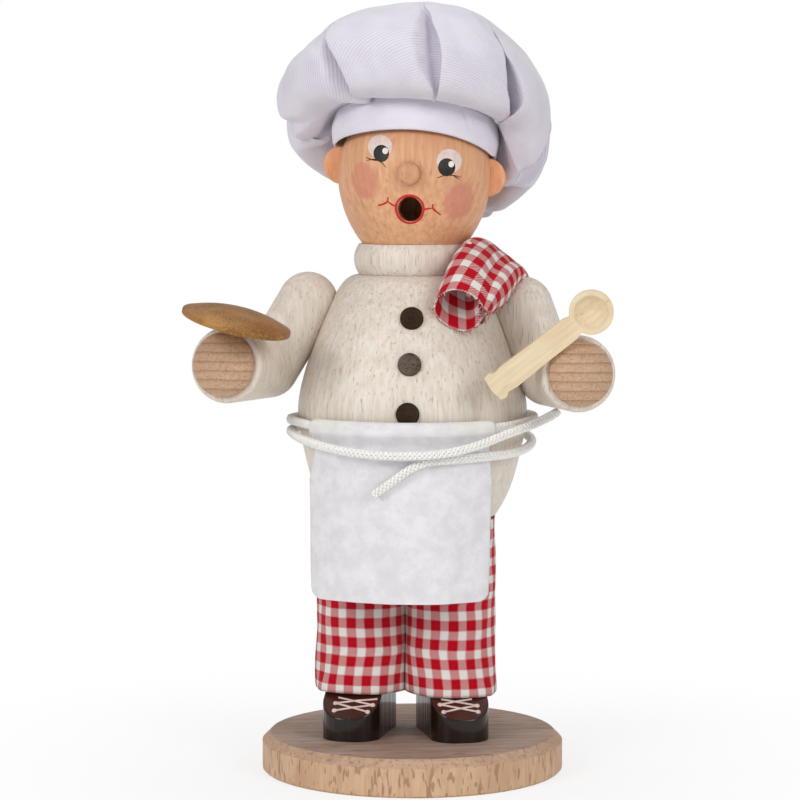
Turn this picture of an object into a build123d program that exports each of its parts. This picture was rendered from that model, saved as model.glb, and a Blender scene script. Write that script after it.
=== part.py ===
from build123d import *
import os
from math import cos, pi, radians, sin, sqrt, tan

# A turned wooden incense smoker dressed as a chef. Millimetres, +Z up, facing -Y.
# The origin is the centre of the base's underside.
# "right" and "left" are the figure's own sides: its right is -X, its left is +X.

# Fits and overruns
overrun = 4.0
glue_gap = 0.05
cloth_gap = 0.3
lift_gap = 0.3

# Base
base_radius = 37.5
base_thickness = 9.1
base_top_chamfer = 2.0
base_foot_chamfer = 0.5

# Shoes
shoe_width = 14.4
shoe_length = 27.0
shoe_height = 12.2
toe_height = 5.7
toe_corner = 6.2
heel_corner = 4.0
toe_edge_round = 0.7
instep_slope = 36.0
shoe_toe_out = {"right": 9.0, "left": 16.0}

# Legs
leg_radius = 10.0
leg_places = {"right": -12.7, "left": 9.5}
leg_to_toe = 16.4
leg_tenon_radius = 3.4
tenon_depth = 6.0

# Hips, with the spigot that the upper body sits on
hip_radius = 19.4
hip_thickness = 8.0
spigot_height = 6.0
spigot_chamfer = 0.8
air_bore_radius = 3.6
air_bore_wall = 1.0

# Dish for the incense cone, and its nail
dish_to_bore = 0.5
dish_sheet = 0.5
dish_rim_height = 1.8
nail_radius = 0.8
nail_head_radius = 1.6
nail_head_thickness = 0.5
nail_length = 7.0

# Trousers
trouser_cloth = 0.9
trouser_flare = 0.5
hem_height = {"right": 20.5, "left": 19.5}
seat_drop = 15.0
seat_flat_share = 0.02

# Torso, a hollow turned shell
torso_foot = 63.9
torso_height = 59.5
belly_radius = 28.4
torso_outline_shares = (
    (0.732, 0.0),
    (0.868, 0.127),
    (0.951, 0.275),
    (1.0, 0.430),
    (0.962, 0.555),
    (0.870, 0.695),
    (0.757, 0.835),
    (0.644, 0.939),
    (0.560, 0.985),
)
neck_radius = 13.2
foot_wall = 4.3
chamber_wall = 7.0
shoulder_wall = 7.0
chamber_widest_share = 0.42

# Neck collar
collar_height = 7.6
collar_radius = 14.45
collar_gap = 0.1

# Head
head_shift = 0.5
head_radius = 18.9
chin_radius = 12.9
chin_to_widest = 17.0
chin_bulge_shares = (0.878, 0.365)
head_tenon_radius = 7.0
head_tenon_length = 13.5
smoke_bore_radius = 3.5
mouth_radius = 3.0
mouth_height = 8.7
mouth_side = -0.05

# Nose
nose_radius = 2.7
nose_length = 7.0
nose_stand = 2.6
nose_chamfer = 0.6
nose_height = 17.2
nose_side = -0.1

# Ears, discs let into slots
ear_radius = 4.8
ear_thickness = 3.4
ear_edge = 0.9
ear_reach = 17.7
ear_rise = {"right": 19.3, "left": 16.2}

# Arms: how high the shoulder is on the torso and how far it stands off, then the way from it to the
# elbow and to the end of the sleeve
arm_radius = 7.4
cuff_radius = 9.2
cuff_round = 1.2
shoulder_height_shares = {"right": 0.884, "left": 0.867}
shoulder_stand = {"right": 5.9, "left": 6.8}
shoulder_forward = 0.6
elbow_from_shoulder = {"right": (-9.7, -1.4, -16.4), "left": (6.3, -1.4, -17.0)}
hand_from_shoulder = {"right": (-17.3, -26.8, -13.9), "left": (14.3, -27.4, -14.5)}
shoulder_dowel_radius = 2.0
shoulder_dowel_length = 9.0
shoulder_dowel_in_torso = 3.6

# Hands, turned knobs with a peg
hand_radius = 7.8
hand_stand = 1.4
hand_dome = 4.4
hand_peg_radius = 3.5
hand_peg_length = 8.0

# Buttons, dowel ends
button_radius = 2.8
button_length = 4.0
button_stand = 1.0
button_edge = 0.45
button_height_shares = {"top": 0.834, "middle": 0.652, "bottom": 0.455}
button_angle = {"top": 3.3, "middle": 2.2, "bottom": 1.4}
button_tilt = {"top": 24.0, "middle": 14.0, "bottom": 0.0}

# Apron, a felt sheet that hangs from the waist
felt = 0.8
apron_hang_gap = 0.4
apron_top = 89.2
apron_foot = 45.4
apron_hem_height = 3.4
apron_widest = 74.0
apron_sides = {"top": (-21.0, 19.4), "widest": (-23.6, 20.4), "foot": (-22.4, 19.5)}
apron_corner = 2.5
apron_top_corner = 1.4

# Apron string. Its route is angle from the front towards the left side, height and reach from the axis.
string_radius = 1.05
string_gap = 0.35
string_arc_share = 0.45

# Golden lid held on the right hand
lid_radius = 13.2
lid_rim = 1.6
lid_dome = 2.5
lid_foot_radius = 11.7
lid_foot_depth = 2.0
lid_foot_flat = 4.0
lid_round = 0.5
lid_from_shoulder = (-14.0, -31.0, -3.3)
lid_roll = 14.0
lid_pitch = 6.0

# Spoon glued to the left hand, its handle wider towards the butt
bowl_radius = 5.3
bowl_thickness = 4.0
bowl_round_share = 0.6
bowl_hollow_radius = 4.1
bowl_hollow_depth = 2.4
spoon_thickness = 2.2
spoon_length = 35.3
spoon_neck_width = 4.6
spoon_handle_shares = (0.15, 0.21, 0.55, 0.82, 0.90, 0.93, 0.985)
spoon_handle_widths = (4.6, 5.7, 5.8, 6.2, 5.5, 7.0, 6.6)
spoon_from_shoulder = (17.0, -33.0, 0.3)
spoon_roll = 38.4
spoon_pitch = 4.0

# Shoulder towel: a roll beside a flat flap.
# Each station is a place on its middle line, with its height from the torso's top, then half its width
# and half its height.
towel_stations = (
    (13.4, -23.6, -9.0, 5.4, 5.3),
    (15.9, -17.8, -3.0, 7.2, 5.2),
    (19.0, -10.4, 1.8, 8.6, 4.6),
    (21.4, -3.0, 3.0, 8.2, 3.6),
    (22.0, 3.2, 0.8, 7.2, 2.4),
)
towel_width_slope = 32.0
towel_roll_shares = ((-1.0, 0.0), (-0.35, 1.0), (0.15, 0.72), (0.8, 0.42), (0.96, -0.35), (-0.4, -0.85))
towel_bulge_shares = ((-0.78, 0.78), (-0.06, 0.9), (0.5, 0.68), (0.98, 0.02), (0.32, -0.82), (-0.86, -0.5))
towel_hollow_radius = 4.2
towel_hollow_tip_radius = 1.6
towel_hollow_depth = 9.0

# Hat band
hat_shift = -0.6
hat_tilt = 18.0
hat_lean = 4.0
band_radius = 20.3
band_cloth = 1.0
band_foot = 4.4
band_height = 8.2

# Hat crown: eight lobes round the band. A ring is its reach, its height, how far it follows the droop
# and how deep its creases are.
hat_radius = 33.6
hat_height = 27.5
crease_angles = (-38, 12, 58, 100, 142, 184, 226, 270)
crease_depth_share = 0.07
lobe_reach_shares = (1.0, 1.0, 1.0, 1.0, 0.98, 0.97, 0.99, 1.03)
hat_droop = 14.5
hat_droop_start = -22.0
hat_overlap = 1.0
hat_pocket_radius = 23.3
hat_pocket_room = 1.3
hat_ring_shares = (
    (0.80, 0.0, 1.0, 0.5),
    (0.93, 0.05, 0.88, 1.0),
    (1.0, 0.27, 0.45, 1.0),
    (0.97, 0.50, 0.15, 1.0),
    (0.84, 0.73, 0.0, 1.0),
    (0.59, 0.90, 0.0, 0.9),
    (0.28, 0.985, 0.0, 0.4),
    (0.08, 1.0, 0.0, 0.0),
)

# Heights that follow
shoe_foot = base_thickness
leg_foot = shoe_foot + shoe_height
hip_top = torso_foot - lift_gap
hip_foot = hip_top - hip_thickness
spigot_top = hip_top + spigot_height
torso_top = torso_foot + torso_height
chin_height = torso_top + collar_height
head_middle = chin_height + chin_to_widest
sides = {"right": -1, "left": 1}

# Reaches from the axis that follow
bore_radius = belly_radius * torso_outline_shares[0][0] - foot_wall
spigot_radius = bore_radius - lift_gap
air_bore_reach = spigot_radius - air_bore_wall - air_bore_radius
dish_radius = air_bore_reach - air_bore_radius - dish_to_bore

upright = (Align.CENTER, Align.CENTER, Align.MIN)

os.makedirs("parts", exist_ok=True)


def save(name, solid):
    solid.label = name
    export_step(solid, f"parts/{name}.step")


def turned(*edges):
    """A solid of revolution about Z from edges in the XZ plane."""
    return revolve(make_face(edges), Axis.Z)


def round_waist(angle, height, reach):
    """A place at an angle from the front towards the left side."""
    return Vector(reach * sin(radians(angle)), -reach * cos(radians(angle)), height)


def dome(radius, height):
    """A shallow cap of a sphere on a round flat at zero."""
    sphere_radius = (radius**2 + height**2) / (2 * height)
    block = Cylinder(radius, height, align=upright)
    return block & Pos(0, 0, height - sphere_radius) * Sphere(sphere_radius)


def rod(start, end, radius):
    """A cylinder between two places."""
    span = Vector(end) - Vector(start)
    return Plane(origin=start, z_dir=span) * Cylinder(radius, span.length, align=upright)


# Base
base = Cylinder(base_radius, base_thickness, align=upright)
base = chamfer(base.edges().sort_by(Axis.Z)[-1], base_top_chamfer)
base = chamfer(base.edges().sort_by(Axis.Z)[0], base_foot_chamfer)


# Shoes and legs
def shoe_form(grow=0):
    """A shoe grown by a distance: its toe towards -Y, its sole at zero and the leg's middle at the origin."""
    sole = Pos(0, shoe_length / 2 - leg_to_toe) * Rectangle(shoe_width + 2 * grow, shoe_length + 2 * grow)
    sole = fillet(sole.vertices().sort_by(Axis.Y)[:2], toe_corner + grow)
    sole = fillet(sole.vertices().sort_by(Axis.Y)[-2:], heel_corner + grow)
    slope = tan(radians(instep_slope))
    instep_run = (shoe_height - toe_height) / slope
    rise = grow / cos(radians(instep_slope))
    cut_outline = Polyline(
        (0, -leg_to_toe - overrun, toe_height - overrun * slope + rise),
        (0, -leg_to_toe + instep_run + overrun, shoe_height + overrun * slope + rise),
        (0, -leg_to_toe - overrun, shoe_height + overrun * slope + rise),
        close=True,
    )
    shoe = extrude(sole, shoe_height + grow) - extrude(make_face(cut_outline), shoe_width, both=True)
    if grow:
        return shoe
    instep = shoe.faces().filter_by(lambda f: 0 < f.normal_at().Z < 1).sort_by(Axis.Y)[0]
    rim = instep.edges().filter_by(lambda e: e.center().Y < -leg_to_toe + instep_run - toe_edge_round)
    bore = rod((0, 0, -overrun), (0, 0, shoe_height + overrun), leg_tenon_radius + glue_gap)
    return fillet(rim, toe_edge_round) - bore


def leg_form():
    """A dowel leg with a tenon at each end, its lower shoulder at zero."""
    leg = Cylinder(leg_radius, hip_foot - leg_foot - glue_gap, align=upright)
    tenon_foot = base_thickness - tenon_depth - leg_foot
    tenon_top = hip_foot + tenon_depth - leg_foot
    return leg + rod((0, 0, tenon_foot), (0, 0, tenon_top), leg_tenon_radius)


legs = {}
shoes = {}
shoe_room = []
tenon_holes = []
for side, leg_x in leg_places.items():
    shoe_place = Pos(leg_x, 0, shoe_foot + glue_gap) * Rot(0, 0, sides[side] * shoe_toe_out[side])
    shoes[side] = shoe_place * shoe_form()
    shoe_room.append(shoe_place * shoe_form(cloth_gap))
    legs[side] = Pos(leg_x, 0, leg_foot + 2 * glue_gap) * leg_form()
    hole_foot = base_thickness - tenon_depth - glue_gap
    hole_top = hip_foot + tenon_depth + 4 * glue_gap
    tenon_holes.append(rod((leg_x, 0, hole_foot), (leg_x, 0, hole_top), leg_tenon_radius + glue_gap))
base -= tenon_holes

# Hip block, its spigot and its air bore
hip = Pos(0, 0, hip_foot + 2 * glue_gap) * Cylinder(
    hip_radius, hip_thickness - 2 * glue_gap, align=upright
)
spigot = rod((0, 0, hip_top), (0, 0, spigot_top), spigot_radius)
spigot = chamfer(spigot.edges().sort_by(Axis.Z)[-1], spigot_chamfer)
bore_foot = hip_foot - overrun
bore_top = spigot_top + overrun
air_bore = rod((0, air_bore_reach, bore_foot), (0, air_bore_reach, bore_top), air_bore_radius)
nail_hole = rod((0, 0, spigot_top - nail_length), (0, 0, bore_top), nail_radius + glue_gap)
hip = hip + spigot - air_bore - nail_hole - tenon_holes

# Dish for the incense cone, a thin disc with a turned-up rim, and its nail
dish_foot = spigot_top + glue_gap
dish = rod((0, 0, dish_foot), (0, 0, dish_foot + dish_rim_height), dish_radius)
dish -= rod((0, 0, dish_foot + dish_sheet), (0, 0, dish_foot + overrun), dish_radius - dish_sheet)
dish -= rod((0, 0, dish_foot - overrun), (0, 0, dish_foot + overrun), nail_radius + glue_gap)
nail_head_foot = dish_foot + dish_sheet + glue_gap
nail = rod((0, 0, nail_head_foot - nail_length + glue_gap), (0, 0, nail_head_foot), nail_radius)
nail += rod((0, 0, nail_head_foot), (0, 0, nail_head_foot + nail_head_thickness), nail_head_radius)


# Trousers: a tube of cloth for each leg, joined by a seat that rises to the torso's foot
def seat_form(grow):
    """The seat between the legs and the hips, grown by a distance."""
    middle = (leg_places["left"] + leg_places["right"]) / 2
    span = leg_places["left"] - leg_places["right"]
    low_slot = Pos(middle, 0) * SlotCenterToCenter(span, 2 * (leg_radius + grow))
    low = Plane.XY.offset(hip_foot - seat_drop) * low_slot
    high_radius = hip_radius + grow
    high = Plane.XY.offset(hip_foot) * SlotCenterToCenter(high_radius * seat_flat_share, 2 * high_radius)
    waist = rod((0, 0, hip_foot), (0, 0, hip_top - cloth_gap), high_radius)
    return loft([low.face(), high.face()]) + waist


inner_grow = cloth_gap
outer_grow = cloth_gap + trouser_cloth
trousers = seat_form(outer_grow)
for side, leg_x in leg_places.items():
    hem = hem_height[side]
    leg_cloth = Pos(leg_x, 0, hem) * Cone(
        leg_radius + outer_grow + trouser_flare,
        leg_radius + outer_grow,
        hip_foot + outer_grow - hem,
        align=upright,
    )
    trousers += leg_cloth
trousers -= seat_form(inner_grow)
for side, leg_x in leg_places.items():
    trousers -= Pos(leg_x, 0, hem_height[side] - overrun) * Cone(
        leg_radius + inner_grow + trouser_flare,
        leg_radius + inner_grow,
        hip_foot + inner_grow - hem_height[side] + overrun,
        align=upright,
    )
trousers -= shoe_room


# Torso
def torso_outline(grow):
    places = [(belly_radius * r + grow, torso_foot + torso_height * h) for r, h in torso_outline_shares]
    return places + [(neck_radius + grow, torso_top + grow)]


def torso_form(grow=0):
    """The torso's outside as a full body, grown by a distance."""
    places = [(r, 0, z) for r, z in torso_outline(grow)]
    foot = torso_foot
    return turned(
        Spline(*places),
        Line(places[-1], (0, 0, places[-1][2])),
        Line((0, 0, places[-1][2]), (0, 0, foot)),
        Line((0, 0, foot), places[0]),
    )


def torso_reach(height):
    """How far the torso's surface is from the axis at a height."""
    places = torso_outline(0)
    for (r0, z0), (r1, z1) in zip(places, places[1:]):
        if z0 <= height <= z1:
            return r0 + (r1 - r0) * (height - z0) / (z1 - z0)
    return places[0][0]


torso = torso_form()
seat_top = spigot_top + 2 * glue_gap
neck_hole_radius = head_tenon_radius + glue_gap
chamber_places = (
    (bore_radius, 0, seat_top),
    (belly_radius - chamber_wall, 0, torso_foot + chamber_widest_share * torso_height),
    (neck_hole_radius, 0, torso_top - shoulder_wall),
)
chamber = turned(
    Spline(*chamber_places),
    Line(chamber_places[2], (neck_hole_radius, 0, torso_top + overrun)),
    Line((neck_hole_radius, 0, torso_top + overrun), (0, 0, torso_top + overrun)),
    Line((0, 0, torso_top + overrun), (0, 0, torso_foot - overrun)),
    Line((0, 0, torso_foot - overrun), (bore_radius, 0, torso_foot - overrun)),
    Line((bore_radius, 0, torso_foot - overrun), chamber_places[0]),
)
torso -= chamber

# Collar
collar_foot = torso_top + collar_gap / 2
collar_top = chin_height - collar_gap / 2
collar = turned(
    ThreePointArc(
        (neck_radius, 0, collar_foot),
        (collar_radius, 0, (collar_foot + collar_top) / 2),
        (neck_radius, 0, collar_top),
    ),
    Line((neck_radius, 0, collar_top), (neck_hole_radius, 0, collar_top)),
    Line((neck_hole_radius, 0, collar_top), (neck_hole_radius, 0, collar_foot)),
    Line((neck_hole_radius, 0, collar_foot), (neck_radius, 0, collar_foot)),
)


# Head, with its tenon, the smoke bore and the mouth
def head_form(grow=0):
    """The head's ball grown by a distance."""
    chin = (chin_radius + grow, 0, chin_height - grow)
    bulge_height = chin_height + chin_to_widest * chin_bulge_shares[1]
    bulge = ((head_radius + grow) * chin_bulge_shares[0], 0, bulge_height)
    widest = (head_radius + grow, 0, head_middle)
    ball = turned(
        ThreePointArc(chin, bulge, widest),
        Line(widest, (0, 0, head_middle)),
        Line((0, 0, head_middle), (0, 0, chin[2])),
        Line((0, 0, chin[2]), chin),
    )
    ball += Pos(0, 0, head_middle) * Sphere(head_radius + grow, arc_size1=0, align=upright)
    return Pos(head_shift, 0, 0) * ball


mouth_z = chin_height + mouth_height
mouth_x = head_shift + mouth_side
tenon_foot = chin_height - head_tenon_length
head = head_form() + rod((0, 0, tenon_foot), (0, 0, chin_height + glue_gap), head_tenon_radius)
head -= rod((0, 0, tenon_foot - overrun), (0, 0, mouth_z + mouth_radius), smoke_bore_radius)
head -= rod((mouth_x, -head_radius - overrun, mouth_z), (mouth_x, 0, mouth_z), mouth_radius)

# Nose
nose_z = chin_height + nose_height
nose_x = head_shift + nose_side
nose_front = -head_radius - nose_stand
nose_back = nose_front + nose_length
head -= rod((nose_x, nose_front, nose_z), (nose_x, nose_back + glue_gap, nose_z), nose_radius + glue_gap)
nose = rod((nose_x, nose_front, nose_z), (nose_x, nose_back, nose_z), nose_radius)
nose = chamfer(nose.edges().sort_by(Axis.Y)[0], nose_chamfer)

# Ears
ears = {}
for side, sign in sides.items():
    ear_place = Pos(head_shift + sign * ear_reach, 0, chin_height + ear_rise[side])
    ear = Rot(90, 0, 0) * Cylinder(ear_radius, ear_thickness)
    ears[side] = ear_place * fillet(ear.edges().filter_by(GeomType.CIRCLE), ear_edge)
    head -= ear_place * Rot(90, 0, 0) * Cylinder(ear_radius + glue_gap, ear_thickness + 2 * glue_gap)


# Arms
shoulders = {}
elbows = {}
for side, sign in sides.items():
    shoulder_height = torso_foot + torso_height * shoulder_height_shares[side]
    shoulder_reach = torso_reach(shoulder_height) + shoulder_stand[side]
    shoulders[side] = Vector(sign * shoulder_reach, -shoulder_forward, shoulder_height)
    elbows[side] = shoulders[side] + Vector(elbow_from_shoulder[side])


def arm_form(side):
    """Upper arm, forearm, hand, shoulder dowel and the hole that the dowel needs."""
    shoulder = shoulders[side]
    elbow = elbows[side]
    wrist = shoulder + Vector(hand_from_shoulder[side])
    upper_way = (shoulder - elbow).normalized()
    fore_way = (wrist - elbow).normalized()
    whole = rod(elbow, shoulder, arm_radius)
    whole += [Pos(shoulder) * Sphere(arm_radius), Pos(elbow) * Sphere(arm_radius)]
    reach = (wrist - elbow).length
    cuff_bulge = cuff_round * (1 - cos(radians(45)))
    sleeve = turned(
        Line((0, 0, 0), (arm_radius, 0, 0)),
        Line((arm_radius, 0, 0), (cuff_radius, 0, reach - cuff_round)),
        ThreePointArc(
            (cuff_radius, 0, reach - cuff_round),
            (cuff_radius - cuff_bulge, 0, reach - cuff_bulge),
            (cuff_radius - cuff_round, 0, reach),
        ),
        Line((cuff_radius - cuff_round, 0, reach), (0, 0, reach)),
        Line((0, 0, reach), (0, 0, 0)),
    )
    whole += Plane(origin=elbow, z_dir=fore_way) * sleeve
    mitre = Plane(origin=elbow, z_dir=upper_way - fore_way)
    block = 4 * reach
    above = mitre * Pos(0, 0, block / 2 + glue_gap / 2) * Box(block, block, block)
    below = mitre * Pos(0, 0, -block / 2 - glue_gap / 2) * Box(block, block, block)
    body_room = torso_form(glue_gap)
    dowel_y, dowel_z = shoulder.Y, shoulder.Z
    dowel_foot = sides[side] * (torso_reach(dowel_z) - shoulder_dowel_in_torso)
    dowel_tip = dowel_foot + sides[side] * shoulder_dowel_length
    dowel = rod((dowel_foot, dowel_y, dowel_z), (dowel_tip, dowel_y, dowel_z), shoulder_dowel_radius)
    hole_foot = dowel_foot - sides[side] * glue_gap
    hole_tip = dowel_tip + sides[side] * glue_gap
    hole = rod((hole_foot, dowel_y, dowel_z), (hole_tip, dowel_y, dowel_z), shoulder_dowel_radius + glue_gap)
    peg_plane = Plane(origin=wrist, z_dir=fore_way)
    peg_hole = peg_plane * Pos(0, 0, -hand_peg_length - glue_gap) * Cylinder(
        hand_peg_radius + glue_gap, hand_peg_length + overrun, align=upright
    )
    upper_arm = (whole & above) - body_room - hole
    forearm = (whole & below) - body_room - peg_hole
    knob = Cylinder(hand_radius, hand_stand, align=upright)
    knob += Pos(0, 0, hand_stand) * dome(hand_radius, hand_dome)
    knob += Pos(0, 0, -hand_peg_length) * Cylinder(
        hand_peg_radius, hand_peg_length, align=upright
    )
    hand = peg_plane * Pos(0, 0, glue_gap) * knob
    return upper_arm, forearm, hand, dowel, hole


arms = {}
for side in sides:
    arms[side] = arm_form(side)
    torso -= arms[side][4]

# Buttons
buttons = {}
for name, angle in button_angle.items():
    height = torso_foot + torso_height * button_height_shares[name]
    surface = round_waist(angle, height, torso_reach(height))
    tilt = radians(button_tilt[name])
    outward = round_waist(angle, sin(tilt), cos(tilt))
    tip = surface + outward * button_stand
    button = rod(tip - outward * button_length, tip, button_radius)
    rim = button.edges().filter_by(GeomType.CIRCLE).sort_by_distance(tip)[0]
    buttons[name] = fillet(rim, button_edge)
    hole_end = tip - outward * (button_length + glue_gap)
    torso -= rod(hole_end, tip + outward * overrun, button_radius + glue_gap)

# Apron: a sheet bent round the belly, folded at the top over the string
string_room = 2 * (string_radius + string_gap)
hang_reach = belly_radius + apron_hang_gap
hem_reach = belly_radius + string_room
hem_foot = apron_top - apron_hem_height
step_foot = hem_foot - (hem_reach - hang_reach)
lip_reach = belly_radius + button_stand + cloth_gap
sheet = turned(
    Polyline(
        (hang_reach, 0, apron_foot - overrun),
        (hang_reach, 0, step_foot),
        (hem_reach, 0, hem_foot),
        (hem_reach, 0, apron_top - felt),
        (lip_reach, 0, apron_top - felt),
        (lip_reach, 0, apron_top),
        (hem_reach + felt, 0, apron_top),
        (hem_reach + felt, 0, hem_foot),
        (hang_reach + felt, 0, step_foot),
        (hang_reach + felt, 0, apron_foot - overrun),
        close=True,
    )
)
cut_plane = Plane(origin=(0, 0, 0), x_dir=(1, 0, 0), z_dir=(0, -1, 0))
apron_outline = Polyline(
    (apron_sides["top"][0], apron_top + overrun),
    (apron_sides["widest"][0], apron_widest),
    (apron_sides["foot"][0], apron_foot),
    (apron_sides["foot"][1], apron_foot),
    (apron_sides["widest"][1], apron_widest),
    (apron_sides["top"][1], apron_top + overrun),
    close=True,
)
apron_cut = make_face(apron_outline)
apron_cut = fillet(apron_cut.vertices().sort_by(Axis.Y)[:2], apron_corner)
apron = sheet & extrude(cut_plane * apron_cut, 2 * belly_radius)

# Apron string, a tube with an arc at each point of its route: angle, height and reach from the axis.
# It runs from its first loose end through the knot, twice round the waist and back to the knot.
string_route = (
    (-13.4, 71.9, 31.1),
    (-6.5, 74.6, 31.2),
    (0.8, 77.6, 31.2),
    (9.0, 79.9, 31.0),
    (20.0, 80.2, 31.2),
    (36.0, 80.5, 31.4),
    (58.0, 80.6, 30.7),
    (82.0, 81.6, 30.2),
    (106.0, 82.6, 30.4),
    (130.0, 83.4, 30.6),
    (154.0, 84.3, 30.6),
    (178.0, 85.3, 30.6),
    (202.0, 86.2, 30.6),
    (226.0, 86.8, 30.7),
    (250.0, 87.1, 30.7),
    (274.0, 87.5, 30.8),
    (296.0, 87.7, 30.6),
    (316.0, 87.1, 30.35),
    (338.0, 87.0, 30.35),
    (0.5, 86.9, 30.35),
    (23.0, 87.0, 30.35),
    (44.0, 87.2, 30.4),
    (64.0, 87.6, 30.8),
    (86.0, 88.1, 30.8),
    (110.0, 87.9, 30.8),
    (134.0, 87.4, 31.0),
    (156.0, 86.9, 31.9),
    (176.0, 86.2, 33.1),
    (198.0, 85.4, 33.4),
    (219.0, 84.7, 32.6),
    (241.0, 84.3, 31.4),
    (265.0, 84.5, 30.8),
    (289.0, 84.8, 30.9),
    (310.0, 84.0, 32.9),
    (330.0, 82.3, 33.0),
    (349.0, 81.4, 33.1),
    (4.0, 81.5, 33.4),
    (17.0, 82.0, 34.2),
    (31.0, 83.6, 34.0),
    (46.0, 86.0, 33.6),
    (61.0, 87.4, 33.9),
    (72.0, 88.6, 35.0),
    (79.5, 89.9, 36.6),
)
route = [round_waist(*place) for place in string_route]


def arc_radii(points):
    """The arc at each inner point: a share of the shorter run over the tangent of half the turn."""
    radii = []
    for before, at, after in zip(points, points[1:], points[2:]):
        turn = radians((at - before).get_angle(after - at))
        shorter = min((at - before).length, (after - at).length)
        radii.append(string_arc_share * shorter / tan(turn / 2))
    return radii


def least_gap(path, radius, spacing, apart):
    """The least gap between stretches of a tube that lie further apart along it than a distance."""
    count = int(path.length / spacing)
    spots = [path.position_at(i / count) for i in range(count + 1)]
    skip = int(apart / spacing)
    gaps = [
        (spots[i] - spots[j]).length
        for i in range(0, len(spots))
        for j in range(i + skip, len(spots))
    ]
    return min(gaps) - 2 * radius


string_radii = arc_radii(route)
string_path = FilletPolyline(*route, radius=string_radii)
string_start = Plane(origin=route[0], z_dir=route[1] - route[0])
apron_string = sweep(string_start * Circle(string_radius), path=string_path)
string_gap_found = least_gap(string_path, string_radius, string_radius, 8 * string_radius)
string_volume = pi * string_radius**2 * string_path.length
print("string length", round(string_path.length, 1), "arc radii", [round(r, 1) for r in string_radii])
print("string least gap to itself", round(string_gap_found, 2))
print("string volume over section times length", round(apron_string.volume / string_volume, 4))

# Golden lid: a shallow dome over a smaller convex foot
lid_form = Pos(0, 0, -lid_rim / 2) * Cylinder(lid_radius, lid_rim, align=upright)
lid_form = fillet(lid_form.edges().filter_by(GeomType.CIRCLE), lid_round)
lid_form += Pos(0, 0, lid_rim / 2) * dome(lid_radius - lid_round, lid_dome)
lid_foot = Pos(0, 0, -lid_foot_depth) * Cone(lid_foot_flat, lid_foot_radius, lid_foot_depth, align=upright)
lid_form += Pos(0, 0, -lid_rim / 2) * lid_foot
lid = Pos(shoulders["right"] + Vector(lid_from_shoulder)) * Rot(lid_pitch, lid_roll, 0) * lid_form
lid -= arms["right"][1] + arms["right"][2]

# Spoon: a round bowl and a flat carved handle, laid in the XY plane with the bowl at the origin
bowl = Pos(0, 0, -bowl_thickness / 2) * fillet(
    Cylinder(bowl_radius, bowl_thickness).edges().sort_by(Axis.Z)[0], bowl_thickness * bowl_round_share
)
handle_end = -(spoon_length - bowl_radius)
handle_sides = [
    (handle_end * share, width / 2) for share, width in zip(spoon_handle_shares, spoon_handle_widths)
]
upper_side = [(0, spoon_neck_width / 2)] + handle_sides
lower_side = [(x, -y) for x, y in upper_side]
handle_outline = Polyline(*upper_side, (handle_end, 0), *reversed(lower_side), close=True)
handle = Pos(0, 0, -spoon_thickness) * extrude(make_face(handle_outline), spoon_thickness)
spoon = bowl + handle
hollow_sphere = (bowl_hollow_radius**2 + bowl_hollow_depth**2) / (2 * bowl_hollow_depth)
spoon -= Pos(0, 0, hollow_sphere - bowl_hollow_depth) * Sphere(hollow_sphere)
spoon_place = shoulders["left"] + Vector(spoon_from_shoulder)
spoon_plane = Plane(origin=spoon_place, x_dir=(1, 0, 0), z_dir=(0, -1, 0))
spoon = spoon_plane * Rot(spoon_pitch, 0, 0) * Rot(0, 0, spoon_roll) * spoon
spoon -= arms["left"][1] + arms["left"][2]


# Towel
def towel_section(station, way):
    """One cross-section of the towel, square to its way."""
    x, y, height, half_width, half_height = station
    slope = radians(towel_width_slope)
    across = Vector(cos(slope), 0, -sin(slope))
    across = (across - way * across.dot(way)).normalized()
    plane = Plane(origin=(x, y, torso_top + height), x_dir=across, z_dir=-way)
    ends = [(half_width * a, half_height * b) for a, b in towel_roll_shares]
    bulges = [(half_width * a, half_height * b) for a, b in towel_bulge_shares]
    arcs = [ThreePointArc(ends[i], bulges[i], ends[(i + 1) % len(ends)]) for i in range(len(ends))]
    return plane * make_face(arcs)


towel_places = [Vector(x, y, torso_top + height) for x, y, height, _, _ in towel_stations]
towel_ways = []
for i in range(len(towel_places)):
    before = towel_places[max(i - 1, 0)]
    after = towel_places[min(i + 1, len(towel_places) - 1)]
    towel_ways.append((after - before).normalized())
towel = loft([towel_section(station, way) for station, way in zip(towel_stations, towel_ways)])
hollow = Cone(
    towel_hollow_radius, towel_hollow_tip_radius, towel_hollow_depth, align=upright
)
towel -= Plane(origin=towel_places[0], z_dir=towel_ways[0]) * hollow
towel -= torso_form(cloth_gap) + head_form(cloth_gap)
towel -= rod((0, 0, torso_top), (0, 0, chin_height), collar_radius + cloth_gap)
towel -= rod(elbows["left"], shoulders["left"], arm_radius + cloth_gap)
towel -= Pos(shoulders["left"]) * Sphere(arm_radius + cloth_gap)

# Hat band and crown, about an axis that leans back and towards the left side
hat_turn = Rot(-hat_tilt, 0, 0) * Rot(0, hat_lean, 0)
hat_place = Pos(head_shift + hat_shift, 0, head_middle) * hat_turn
band = Pos(0, 0, band_foot) * Cylinder(band_radius, band_height, align=upright)
band -= Cylinder(band_radius - band_cloth, 4 * band_height)
band_hollow = head_form(cloth_gap)
for side, sign in sides.items():
    ear_place = Pos(head_shift + sign * ear_reach, 0, chin_height + ear_rise[side])
    ear_room = Cylinder(ear_radius + cloth_gap, ear_thickness + 2 * cloth_gap)
    band_hollow += ear_place * Rot(90, 0, 0) * ear_room
band = hat_place * band - band_hollow
crown_foot = band_foot + band_height + cloth_gap


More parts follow.
